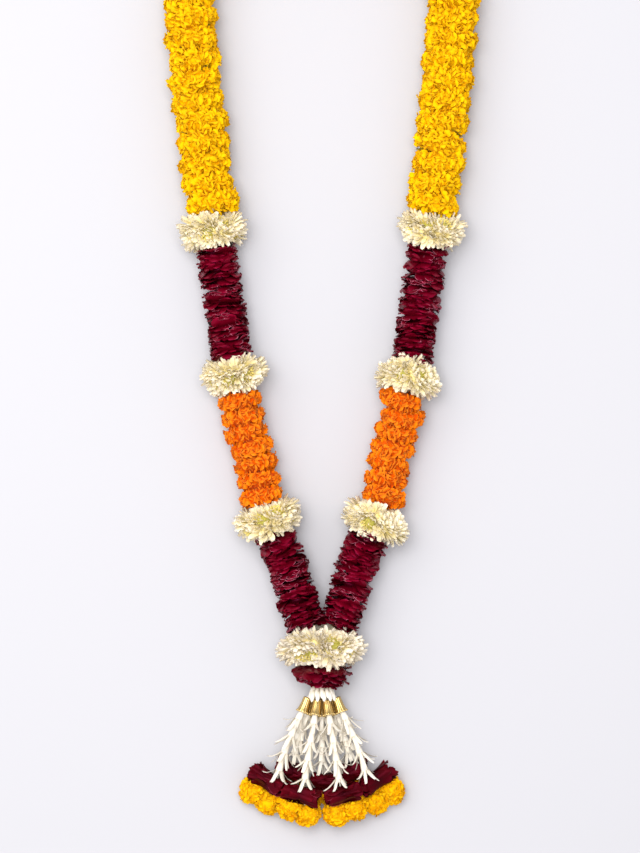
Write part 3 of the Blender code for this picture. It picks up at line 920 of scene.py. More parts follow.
class Gathering:
    """Copies of modelled shapes, gathered into the one mesh of a piece."""

    def __init__(self) -> None:
        """Starts with nothing gathered."""
        self.points, self.faces, self.petals, self.total = [], [], [], 0

    def put(self, points: np.ndarray, faces: np.ndarray, marks: np.ndarray,
            tones: np.ndarray) -> None:
        """Adds copies whose points are worked out.

        Args:
            points: An array of copies by points by three.
            faces: The faces of one copy.
            marks: The marks of its points.
            tones: The tone of each copy.
        """
        copies, count = points.shape[:2]
        petals = np.broadcast_to(marks, points.shape).copy()
        petals[:, :, 2] = tones[:, None]
        starts = self.total + count * np.arange(copies)
        self.points.append(points.reshape(-1, 3))
        self.petals.append(petals.reshape(-1, 3))
        self.faces.append((faces[None] + starts[:, None, None]).reshape(-1, faces.shape[1]))
        self.total += copies * count

    def solid(self, model: Model, size: np.ndarray, axes: np.ndarray, origin: np.ndarray,
              tone: float, shift: float = 0.0) -> None:
        """Adds one copy of a solid.

        Args:
            model: The solid.
            size: What its points are multiplied by.
            axes: Its axes, as rows.
            origin: Where its origin lies.
            tone: Its tone.
            shift: How far it then moves along its last axis.
        """
        points = (model.points * size + AXIS * shift) @ axes + origin
        self.put(points[None], outward(model.faces, axes), model.marks, np.array([tone]))

    def spray(self, model: Model, spray: Spray, turn: np.ndarray, origin: np.ndarray) -> None:
        """Adds a spray of petals.

        Args:
            model: The petal.
            spray: Where and how its copies stand, in the head's own axes.
            turn: The head's axes, as rows.
            origin: The head's middle.
        """
        local = bent(model.points, spray.bends, model.straight) * spray.sizes[:, None, :]
        side = np.cross(spray.ways, spray.facings)
        axes = np.stack([side, spray.ways, spray.facings], axis=1)
        points = np.einsum("npk,nkj->npj", local, axes) + spray.roots[:, None, :]
        self.put(points @ turn + origin, outward(model.faces, turn), model.marks, spray.tones)

    def make(self, name: str, material: bpy.types.Material) -> bpy.types.Object:
        """Makes the piece's object, pressed where it lies on the surface.

        Args:
            name: The piece's name.
            material: Its finish.

        Returns:
            The object, at the origin.
        """
        points = pressed(np.vstack(self.points))
        corners = np.concatenate([f.ravel() for f in self.faces])
        sides = np.concatenate([np.full(len(f), f.shape[1]) for f in self.faces])
        starts = np.concatenate([[0], np.cumsum(sides)[:-1]])
        mesh = bpy.data.meshes.new(name)
        mesh.vertices.add(len(points))
        mesh.vertices.foreach_set("co", points.astype(np.float32).ravel())
        mesh.loops.add(len(corners))
        mesh.loops.foreach_set("vertex_index", corners.astype(np.int32))
        mesh.polygons.add(len(sides))
        mesh.polygons.foreach_set("loop_start", starts.astype(np.int32))
        mesh.polygons.foreach_set("use_smooth", np.ones(len(sides), bool))
        petal = mesh.attributes.new("petal", "FLOAT_VECTOR", "POINT")
        petal.data.foreach_set("vector", np.vstack(self.petals).astype(np.float32).ravel())
        mesh.update(calc_edges=True)
        mesh.set_sharp_from_angle(angle=RIM)
        mesh.materials.append(material)
        ob = bpy.data.objects.new(name, mesh)
        bpy.context.scene.collection.objects.link(ob)
        return ob


@dataclass
class Florist:
    """What every part of the garland shares: modelled shapes, finishes and the pieces made."""

    petal: Model
    ray: Model
    rose: Model
    finger: Model
    ball: Model
    finishes: dict
    names: list = field(default_factory=list)

    def hand_over(self, found: Gathering, name: str, finish: str, slot: str, *nodes: str) -> None:
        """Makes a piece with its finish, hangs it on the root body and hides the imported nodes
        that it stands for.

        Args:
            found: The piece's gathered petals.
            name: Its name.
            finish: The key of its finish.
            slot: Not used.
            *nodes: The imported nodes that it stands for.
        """
        piece = found.make(name, self.finishes[finish])
        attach(piece, "root")
        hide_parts(*nodes)
        self.names.append(name)
        LOG.info("%s: %d faces", name, len(piece.data.polygons))


# ---------------------------------------------------------------- marigolds
@dataclass
class MarigoldHead:
    """A marigold head: ruffled petals packed round a filled middle.

    The head's axis is the string. Petals end on a surface turned about it, which is as rounded as
    roundness says: about a half for heads pressed together, one for a ball.
    """

    florist: Florist
    rng: np.random.Generator
    radius: float
    half: float  # half its thickness along the string
    petals: int = 250
    width: float = 0.29  # a petal's width as a share of the radius
    curl: float = 1.5  # how far a petal rolls up, in radians
    roundness: float = 0.66
    sepals: int = 2
    core: float = 0.83  # the share of the head that is filled under its petals
    core_long: float = 1.15  # how much further it reaches along the string than round it
    heart: float = 0.62  # the mark of that filling, which sets its colour
    rooting: float = 0.90  # how far out in the filling the petals have their roots
    loose: float = 1.0  # how freely it sits on the string
    gather_in: float = 0.28  # how much closer its petals stand round its middle than at its ends
    lobe: float = 0.03  # how far its outline waves
    lobes: int = 3
    ends: tuple = (0.92, 0.99)  # how far out a petal ends, at least and at most
    # How much petals vary: place along the string, place round the head and curl.
    varies: tuple = (0.05, 0.10, 0.25)
    lean_back: float = 1.05  # how far a petal leans back so that its curled tip comes right
    curls: tuple = (0.8, 2.2)  # how far a petal rolls up, at least and at most
    widths: tuple = (0.75, 1.25)  # how a petal's width varies
    sepal: tuple = (0.16, 0.72, 0.3)  # a sepal's width, length and depth, as shares of the radius
    sepal_root: tuple = (0.2, 0.55)  # how far out and how far back it grows, as shares
    sepal_back: float = 0.55  # how far back it points

    def layer(self) -> Spray:
        """Works out the petals, which stand on the filling and curl over at the head's surface.

        Returns:
            The petals.
        """
        rng, count = self.rng, self.petals
        rise_varies, angle_varies, curl_varies = self.varies
        even = (np.arange(count) + 0.5) / count * 2 - 1
        rise = (even + rng.normal(0, rise_varies, count)).clip(-1, 1)
        rise *= 1 - self.gather_in * (1 - rise**2)
        angle = np.arange(count) * GOLDEN + rng.normal(0, angle_varies, count)
        lobes = self.lobe * np.cos(angle * self.lobes + rise * 2 + rng.uniform(0, 6))
        grow = rng.uniform(*self.ends, count) + lobes
        share = np.sqrt(1 - (self.roundness * rise) ** 2)
        reach = self.radius * share * grow
        out = around(angle)
        slope = self.radius / self.half * self.roundness**2 * rise / share
        normal = unit(out + AXIS * slope[:, None])
        tips = out * reach[:, None] + AXIS * (self.half * rise * grow)[:, None]
        roots = (out * (self.core * self.rooting * self.radius * share)[:, None]
                 + AXIS * (self.core * self.half * rise)[:, None])
        bends = rng.normal(self.curl, curl_varies, count).clip(*self.curls)
        straight = self.florist.petal.straight
        rolled = (1 - straight) / bends
        over, gain = rolled * (1 - np.cos(bends)), straight + rolled * np.sin(bends)
        twist = rng.uniform(0, FULL_TURN, count)[:, None]
        towards = np.cross(AXIS, out) * np.sin(twist) + faced(normal, AXIS) * np.cos(twist)
        long = np.linalg.norm(tips - roots, axis=1)
        spans = tips - roots - towards * (over * self.lean_back * long)[:, None]
        length = np.linalg.norm(spans, axis=1) / gain
        ways = unit(spans)
        wide = self.radius * self.width * rng.uniform(*self.widths, count)
        sizes = np.stack([wide, length, length], axis=1)
        return Spray(roots, ways, faced(ways, towards), sizes, bends, rng.uniform(0, 1, count))

    def green(self) -> Spray:
        """Works out a few sepals left at the back of the head.

        Returns:
            The sepals.
        """
        count = self.sepals
        out = around(self.rng.uniform(0, FULL_TURN, count))
        ways = unit(out - AXIS * self.sepal_back)
        sizes = np.tile(np.array(self.sepal) * self.radius, (count, 1))
        aside, back = self.sepal_root
        roots = out * aside * self.radius - AXIS * back * self.half
        bends, tones = np.full(count, 0.5), np.full(count, 0.6)
        return Spray(roots, ways, faced(ways, AXIS), sizes, bends, tones)

    def gather(self, middle: np.ndarray, axes: np.ndarray) -> Gathering:
        """Gathers the head.

        Args:
            middle: The head's middle.
            axes: Across, up and along the string, as rows.

        Returns:
            The head's petals.
        """
        found = Gathering()
        found.spray(self.florist.petal, self.layer(), axes, middle)
        if self.sepals:
            found.spray(self.florist.petal.marked(0.0, -LEAF), self.green(), axes, middle)
        squash = np.array([self.radius, self.radius, self.half * self.core_long]) * self.core
        found.solid(self.florist.ball.plain(self.heart), squash, axes, middle, 0.8)
        return found


@dataclass
class Marigolds:
    """The yellow heads round the neck and the orange heads lower down."""

    florist: Florist
    rng: np.random.Generator = seeded(11)
    yellow_radius: float = 0.0272
    yellow_half: float = 0.62  # half a head's thickness, as a share of its room on the string
    yellow_heads: int = 42
    per_group: int = 3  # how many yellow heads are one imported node
    orange_radius: float = 0.0228
    orange_half: float = 0.58
    orange_lower: int = 4
    orange_upper: int = 3
    clear: float = 0.75  # how far a run keeps from a ring's middle, in half thicknesses
    sway: float = 0.0013  # how far a head sits off the string's line
    tilt: float = 0.11  # how far a head turns from the string's way, in radians

    def head(self, kind: MarigoldHead, route: Route, distance: float) -> Gathering:
        """Gathers one head, a little off the string's line and askew.

        Args:
            kind: The head.
            route: The string's route.
            distance: Where the head is along it.

        Returns:
            The head's petals.
        """
        axes = route.axes(distance)
        spin, lean = self.rng.uniform(0, FULL_TURN), self.rng.normal(0, self.tilt, 2)
        along = unit(axes[2] + lean[0] * axes[0] + lean[1] * axes[1])
        aside, above = (axis * self.rng.normal(0, self.sway * kind.loose) for axis in axes[:2])
        middle = route.at(distance) + aside + above
        return kind.gather(middle, spun(*axes_along(along), spin))

    def run(self, kind: MarigoldHead, route: Route, span: tuple[float, float], count: int,
            label: str, finish: str, node: Callable[[int], str]) -> None:
        """Makes a run of equal heads, each its own piece.

        Args:
            kind: The head.
            route: The string's route.
            span: Where the run starts and ends along it.
            count: How many heads it has.
            label: What the pieces are called.
            finish: The key of the heads' finish.
            node: A function from a head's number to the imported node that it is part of.
        """
        start, end = span
        for number in range(count):
            found = self.head(kind, route, start + (end - start) * (number + 0.5) / count)
            name = f"{label}_{number + 1:02d}"
            self.florist.hand_over(found, name, finish, f"{finish}_petals", node(number))

    def make_yellow(self) -> None:
        """Makes the yellow heads."""
        route = loop_route(1)
        start = route.beside(Ring.HIGH, self.clear)
        end = route.length - start
        room = (route.length - 2 * start) / self.yellow_heads
        kind = MarigoldHead(self.florist, self.rng, self.yellow_radius, room * self.yellow_half)
        self.run(kind, route, (start, end), self.yellow_heads, "yellow_marigold", "yellow",
                 lambda number: f"yellow_marigolds_{number // self.per_group + 1:02d}")

    def make_orange(self, side: Side) -> None:
        """Makes the orange heads of one side.

        Args:
            side: The side.
        """
        route = loop_route(side.value)
        low = route.beside(Ring.LOW, self.clear)
        high = route.beside(Ring.MIDDLE, -self.clear)
        count = self.orange_lower + self.orange_upper
        half = (high - low) / count * self.orange_half
        # The filling's deeper red, from near the petals' roots, is painted shade in the gaps
        # between them.
        kind = MarigoldHead(self.florist, self.rng, self.orange_radius, half, petals=200,
                            width=0.32, roundness=0.88, sepals=1, heart=0.16, loose=1.3)
        nodes = f"orange_marigolds_{side.word}"
        self.run(kind, route, (low, high), count, f"orange_marigold_{side.word}", "orange",
                 lambda number: f"{nodes}_{'lower' if number < self.orange_lower else 'upper'}")

    def build(self) -> None:
        """Makes all the heads."""
        self.make_yellow()
        for side in Side:
            self.make_orange(side)


# ---------------------------------------------------------------- chrysanthemums
@dataclass
class ChrysanthemumHead:
    """A white chrysanthemum: rows of narrow petals round a yellow-green eye.

    Its sizes are shares of its radius.
    """

    rng: np.random.Generator
    radius: float
    petal: Model
    ball: Model
    # Each row of petals: how far it leans from flat, how many, its length as a share, its curl.
    rows: tuple = ((-50, 14, 0.84, 0.1), (-34, 21, 0.93, 0.2), (-18, 26, 1.0, 0.4),
                   (-3, 29, 1.03, 0.6), (11, 30, 0.98, 0.7), (24, 27, 0.84, 0.65),
                   (37, 21, 0.62, 0.4))
    width: float = 0.235  # a petal's
    lengths: tuple = (0.82, 1.04)  # how a petal's length varies
    widths: tuple = (0.85, 1.15)
    # How much petals vary, in radians: lean, place round the head, curl and roll.
    varies: tuple = (0.09, 0.07, 0.18, 0.3)
    inside: float = 0.45  # how squarely a petal may point into the ring
    root: float = 0.07  # how far out the petals grow
    florets: int = 32  # of the eye
    floret: tuple = (0.11, 0.17, 0.1)  # a floret's width, length and depth
    floret_curl: float = 0.3
    eye_radius: float = 0.38
    eye_rise: float = 0.46
    eye_dome: float = 0.18  # how much lower its edge is than its middle
    eye_open: float = 0.8  # how far its florets lean out at its edge
    core: tuple = (0.52, 0.52, 0.36)  # the filling under the petals
    dome: tuple = (0.38, 0.38, 0.30)  # the filling under the eye
    dome_rise: float = 0.17
    core_mark: float = 0.36  # which sets its colour
    eye_marks: float = 0.10  # how far along a petal's colours the eye's begin and how far they go

    def row(self, lean: float, count: int, share: float, curl: float,
            inward: np.ndarray) -> Spray:
        """Works out one row, leaving out petals that would lie inside the ring.

        Args:
            lean: How far it leans from flat, in degrees.
            count: How many petals it has.
            share: Their length.
            curl: How far they roll up.
            inward: The way to the ring's own middle, in the head's axes.

        Returns:
            The row's petals.
        """
        rng = self.rng
        lean_varies, angle_varies, curl_varies, roll_varies = self.varies
        lean_angle = math.radians(lean) + rng.normal(0, lean_varies, count)
        angle = spread_round(count, rng.uniform(0, 1))
        out = around(angle + rng.normal(0, angle_varies, count))
        ways = out * np.cos(lean_angle)[:, None] + AXIS * np.sin(lean_angle)[:, None]
        kept = ways @ inward < self.inside
        out, ways = out[kept], ways[kept]
        number = len(ways)
        length = self.radius * share * rng.uniform(*self.lengths, number)
        wide = self.radius * self.width * rng.uniform(*self.widths, number)
        sizes = np.stack([wide, length, length], axis=1)
        spray = Spray(out * self.root * self.radius, ways, faced(ways, AXIS), sizes,
                      rng.normal(curl, curl_varies, number), rng.uniform(0, 1, number))
        return spray.rolled(rng.normal(0, roll_varies, number))

    def eye(self) -> Spray:
        """Works out the small florets of the eye.

        Returns:
            The florets.
        """
        count = self.florets
        out = around(np.arange(count) * GOLDEN)
        spread = np.sqrt((np.arange(count) + 0.5) / count)[:, None]
        ways = unit(out * spread * self.eye_open + AXIS)
        sizes = np.tile(np.array(self.floret) * self.radius, (count, 1))
        rise = self.eye_rise - self.eye_dome * spread**2
        roots = out * spread * self.eye_radius * self.radius + AXIS * rise * self.radius
        return Spray(roots, ways, faced(ways, np.array([0.3, 1.0, 0.0])), sizes,
                     np.full(count, self.floret_curl), self.rng.uniform(0.3, 1, count))

    def gather(self, middle: np.ndarray, axes: np.ndarray, inward: np.ndarray) -> Gathering:
        """Gathers the head.

        Args:
            middle: The head's middle.
            axes: The head's axes, as rows, with the way it faces last.
            inward: The way to the ring's own middle.

        Returns:
            The head's petals.
        """
        found = Gathering()
        for row in self.rows:
            found.spray(self.petal, self.row(*row, axes @ inward), axes, middle)
        floret = self.petal.marked(self.eye_marks, self.eye_marks)
        found.spray(floret, self.eye(), axes, middle)
        core, dome = (np.array(share) * self.radius for share in (self.core, self.dome))
        found.solid(self.ball.plain(self.core_mark), core, axes, middle, 0.9)
        found.solid(self.ball.plain(), dome, axes, middle, 0.7, self.dome_rise * self.radius)
        return found


@dataclass
class ChrysanthemumRing:
    """One ring of chrysanthemum heads, strung face to back round the strand."""

    florist: Florist
    rng: np.random.Generator
    node: str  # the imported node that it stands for
    middle: np.ndarray
    axes: np.ndarray  # across, up and along the strand, as rows
    outer: tuple  # its half width and half height
    petal: Model
    first: float  # the angle of its first head
    radius: float = 0.0228  # its heads'
    heads: int = 8
    open_out: float = 0.80  # how far a head turns its face outwards from the ring, in radians
    nested: float = 0.97  # how far in from the outline its heads' middles are, in their radii
    sizes: tuple = (0.94, 1.0)  # how its heads' radii vary
    # How much its heads vary: place round it, place along the strand, lean and facing.
    varies: tuple = (0.05, 0.0012, 0.15, 0.15)

    def head(self, angle: float) -> Gathering:
        """Gathers one head.

        Args:
            angle: Where it stands in the ring.

        Returns:
            The head's petals.
        """
        rng, (across, up, along) = self.rng, self.axes
        angle_varies, shift_varies, lean_varies, facing_varies = self.varies
        wide, high = (half - self.radius * self.nested for half in self.outer)
        head = ChrysanthemumHead(rng, self.radius * rng.uniform(*self.sizes), self.petal,
                                 self.florist.ball)
        angle += rng.normal(0, angle_varies)
        c, s = math.cos(angle), math.sin(angle)
        offset = across * wide * c + up * high * s + along * rng.normal(0, shift_varies)
        tangent = unit(across * wide * s - up * high * c + along * rng.normal(0, lean_varies))
        open_out = self.open_out + rng.normal(0, facing_varies)
        facing = unit(tangent * math.cos(open_out) + unit(offset) * math.sin(open_out))
        side = unit(np.cross(facing, along))
        turned = spun(side, np.cross(facing, side), facing, rng.uniform(0, FULL_TURN))
        return head.gather(self.middle + offset, turned, unit(-offset))

    def make(self) -> None:
        """Makes the ring, each head its own piece."""
        label = self.node.replace("_ring", "")
        for number, angle in enumerate(self.first + spread_round(self.heads)):
            name = f"{label}_{number + 1:02d}"
            self.florist.hand_over(self.head(angle), name, "white", "white_petals", self.node)


@dataclass
class ChrysanthemumRings:
    """The three rings on each strand and the bigger one that joins the strands."""

    florist: Florist
    rng: np.random.Generator = seeded(23)
    ring_radius: float = 0.0385
    first: float = math.radians(17)  # the angle of a strand's ring's first head
    first_varies: float = 0.1
    big_radius: float = 0.0405
    big_wide: float = 1.19
    big_head_radius: float = 0.0250
    big_heads: int = 10
    big_whitening: float = 1.35  # how much sooner the big heads' petals turn white along them: painted light that lifts the shade among the big ring's heads

    def build(self) -> None:
        """Makes the seven rings."""
        outer = (self.ring_radius, self.ring_radius)
        for side in Side:
            route = loop_route(side.value)
            for ring in Ring:
                distance = route.beside(ring)
                first = self.first + self.rng.uniform(-self.first_varies, self.first_varies)
                ChrysanthemumRing(self.florist, self.rng,
                                  f"chrysanthemum_ring_{side.word}_{ring.word}",
                                  route.at(distance), route.axes(distance), outer,
                                  self.florist.ray, first).make()
        outer = (self.big_radius * self.big_wide, self.big_radius)
        ChrysanthemumRing(self.florist, self.rng, "chrysanthemum_ring_joining", placed(KNOT),
                          UP_STRAND, outer, self.florist.ray.marked(self.big_whitening), 0.0,
                          self.big_head_radius, self.big_heads).make()


# ---------------------------------------------------------------- rose petals
@dataclass(frozen=True)
class Collar:
    """The sizes of the collar under the big ring, in the source's measure."""

    top: float = 0.1672
    bottom: float = 0.1482
    wide: float = 0.0305  # its radius at the top
    narrow: float = 0.0170  # and at the bottom
    height: float = 0.0305  # its top's height over the surface
    lean: float = 0.31  # how fast it goes down towards the tassel
    layers: int = 9
    petals: int = 8
    spread: float = 0.85  # the share of its length that its layers' middles take up
    raised: float = 0.0045  # how far they are moved up because the petals hang
    slim: float = 0.72  # how wide its petals are beside the stacks'
    spiral: float = 0.7
    curl: tuple = (0.45, 1.15)
    darkness: float = 0.65  # how far along their colours its petals reach


@dataclass
class RosePetals:
    """The stacks of folded rose petals on the strands, and the collar under the big ring."""

    florist: Florist
    rng: np.random.Generator = seeded(37)
    radius: float = 0.0208
    pitch: float = 0.0029
    per_layer: int = 6
    root: float = 0.12  # how far out the petals grow, as a share of their reach
    spiral: float = 1.1  # how far a layer is turned from the last, in radians
    curl: tuple = (0.30, 1.20)  # how far a petal rolls up, at least and at most
    reaches: tuple = (0.92, 1.06)  # how a petal's reach varies
    widths: tuple = (0.95, 1.35)  # its width, as a share of the radius
    lean_off: float = 0.12  # how far it leans from the way that it curls
    # How much petals vary: place round the string, way along it and roll.
    varies: tuple = (0.25, 0.06, 0.14)
    filling: tuple = (0.5, 0.5, 2.2)  # its radii, as shares of the radius and the pitch
    fill_every: int = 3  # how many layers one filling carries
    foot: float = 0.0215  # where the lower stacks start, past the knot
    clear: float = 0.7  # how far a stack keeps from a ring's middle, in half thicknesses
    collar: Collar = Collar()

    def layer(self, radius: float, turn: float, count: int, curl: tuple[float, float],
              ends: tuple = (-1, -1, 1)) -> Spray:
        """Works out one layer of petals round the string.

        Args:
            radius: How far the petals reach.
            turn: The angle of the first.
            count: How many there are.
            curl: The least and the greatest angle that they roll up by.
            ends: Which ways along the string they curl, to draw from.

        Returns:
            The layer.
        """
        rng = self.rng
        angle_varies, way_varies, roll_varies = self.varies
        out = around(turn + spread_round(count) + rng.normal(0, angle_varies, count))
        bends = rng.uniform(*curl, count)
        end = AXIS * rng.choice(ends, count)[:, None]
        reach = radius * rng.uniform(*self.reaches, count)
        length = (reach - self.root * radius) * bends / np.sin(bends)
        astray = AXIS * rng.normal(0, way_varies, count)[:, None]
        ways = unit(out + astray - end * self.lean_off)
        wide = radius * rng.uniform(*self.widths, count)
        sizes = np.stack([wide, length, length], axis=1)
        spray = Spray(out * self.root * radius, ways, faced(ways, end), sizes, bends,
                      rng.uniform(0, 1, count))
        return spray.rolled(rng.normal(0, roll_varies, count))

    def stack(self, node: str, route: Route, start: float, end: float) -> None:
        """Makes one stack.

        Args:
            node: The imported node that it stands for.
            route: The string's route.
            start: Where the stack starts along it.
            end: Where it ends.
        """
        found = Gathering()
        filling = np.array(self.filling) * (self.radius, self.radius, self.pitch)
        for number in range(int((end - start) / self.pitch) + 1):
            distance = start + self.pitch * number
            axes, middle = route.axes(distance), route.at(distance)
            spray = self.layer(self.radius, number * self.spiral, self.per_layer, self.curl)
            found.spray(self.florist.rose, spray, axes, middle)
            # Every third layer's filling takes the petals' root colour, their painted crease
            # shade.
            if number % self.fill_every == 1:
                found.solid(self.florist.ball.plain(), filling, axes, middle, 0.2)
        name = node.replace("petals", "petal_stack")
        self.florist.hand_over(found, name, "rose", "rose_petals", node)

    def make_collar(self) -> None:
        """Makes the collar: layers that narrow towards the tassel, with their petals hanging."""
        plan, found = self.collar, Gathering()
        rose = self.florist.rose.marked(plan.darkness)
        for number in range(plan.layers):
            share = number / (plan.layers - 1)
            y = plan.top + (plan.bottom - plan.top) * share * plan.spread + plan.raised
            middle = placed((0, y, plan.height - plan.lean * (plan.top - y)))
            radius = plan.wide + (plan.narrow - plan.wide) * share
            spray = self.layer(radius, number * plan.spiral, plan.petals, plan.curl, (1,))
            spray.sizes[:, 0] *= plan.slim
            found.spray(rose, spray, DOWN_TASSEL, middle)
        self.florist.hand_over(found, "rose_collar", "rose", "rose_petals", "rose_petal_collar")

    def build(self) -> None:
        """Makes the four stacks and the collar."""
        for side in Side:
            route = loop_route(side.value)
            self.stack(f"rose_petals_{side.word}_lower", route,
                       route.distance_at(KNOT[1] + self.foot), route.beside(Ring.LOW, -self.clear))
            self.stack(f"rose_petals_{side.word}_upper", route,
                       route.beside(Ring.MIDDLE, self.clear), route.beside(Ring.HIGH, -self.clear))
        self.make_collar()


# ---------------------------------------------------------------- the tassel
@dataclass(frozen=True)
class Strand:
    """One strand of the tassel, in the source's measure, on the right side or in the middle."""

    word: str
    cup: tuple  # the top of its cup
    mouth: tuple  # the middle of the cup's rim
    route: tuple
    crossing: tuple  # where its thread meets the roll
    roll: tuple  # the roll's ends
    poms: tuple  # the small marigolds' middles
    pom_radius: float
    flare: float = 0.15  # how far the roll's last petals open at its outer end
    roll_radius: float = 0.0092
    roll_drop: float = 0.0  # how much nearer the tassel's lower edge than its solid the roll lies
    pom_drop: float = 0.0  # and the small marigolds
    pom_fluff: float = 1.26  # how far a small marigold's petals stand out from its solid
    pale: float = 0.0  # how much further along their colours its florets' petals are: painted light that lightens the back strands, which lie in the front strands' shade
    sides: tuple = (Side.RIGHT, Side.LEFT)

    def tag(self, side: Side) -> str:
        """The strand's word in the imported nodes' names."""
        return f"{self.word}_{side.word}" if len(self.sides) > 1 else self.word


STRANDS = (
    Strand("front_inner", cup=(0.0049, 0.1358, 0.0245), mouth=(0.0073, 0.1203, 0.0285),
           route=((0.0110, 0.098, 0.0310), (0.0142, 0.081, 0.0325), (0.0165, 0.062, 0.0335)),
           crossing=(0.0200, 0.0375, 0.0340),
           roll=((0.0032, 0.0325, 0.0335), (0.0372, 0.0425, 0.0340)),
           poms=((0.0155, 0.0166, 0.0215), (0.0340, 0.0236, 0.0225)), pom_radius=0.0120),
    Strand("front_outer", cup=(0.0150, 0.1386, 0.0230), mouth=(0.0204, 0.1236, 0.0245),
           route=((0.0290, 0.1070, 0.0255), (0.0404, 0.0788, 0.0275), (0.0452, 0.0620, 0.0290)),
           crossing=(0.0487, 0.0460, 0.0270),
           roll=((0.0418, 0.0420, 0.0292), (0.0700, 0.0600, 0.0180)),
           poms=((0.0566, 0.0280, 0.0118), (0.0730, 0.0385, 0.0118)), pom_radius=0.0120,
           flare=0.34),
    Strand("back_side", cup=(0.0099, 0.1364, 0.0140), mouth=(0.0137, 0.1210, 0.0100),
           route=((0.0225, 0.1000, 0.0088), (0.0272, 0.0820, 0.0086), (0.0297, 0.0720, 0.0090)),
           crossing=(0.0310, 0.0613, 0.0092),
           roll=((0.0178, 0.0580, 0.0092), (0.0445, 0.0650, 0.0092)),
           poms=((0.0264, 0.0406, 0.0093), (0.0412, 0.0442, 0.0093)), pom_radius=0.0094,
           roll_radius=0.0106, roll_drop=0.003, pom_drop=0.003, pom_fluff=1.0, pale=0.4),
    Strand("back_middle", cup=(0.0, 0.1364, 0.0140), mouth=(0.0, 0.1210, 0.0095),
           route=((0.0, 0.0960, 0.0088), (0.0, 0.0780, 0.0086), (0.0, 0.0660, 0.0090)),
           crossing=(0.0, 0.0525, 0.0092),
           roll=((-0.0135, 0.0525, 0.0092), (0.0140, 0.0525, 0.0092)),
           poms=((-0.0080, 0.0335, 0.0093), (0.0080, 0.0335, 0.0093)), pom_radius=0.0094,
           roll_radius=0.0100, roll_drop=0.0055, pom_drop=0.003, pom_fluff=1.0, pale=0.4,
           sides=(Side.RIGHT,)),
)


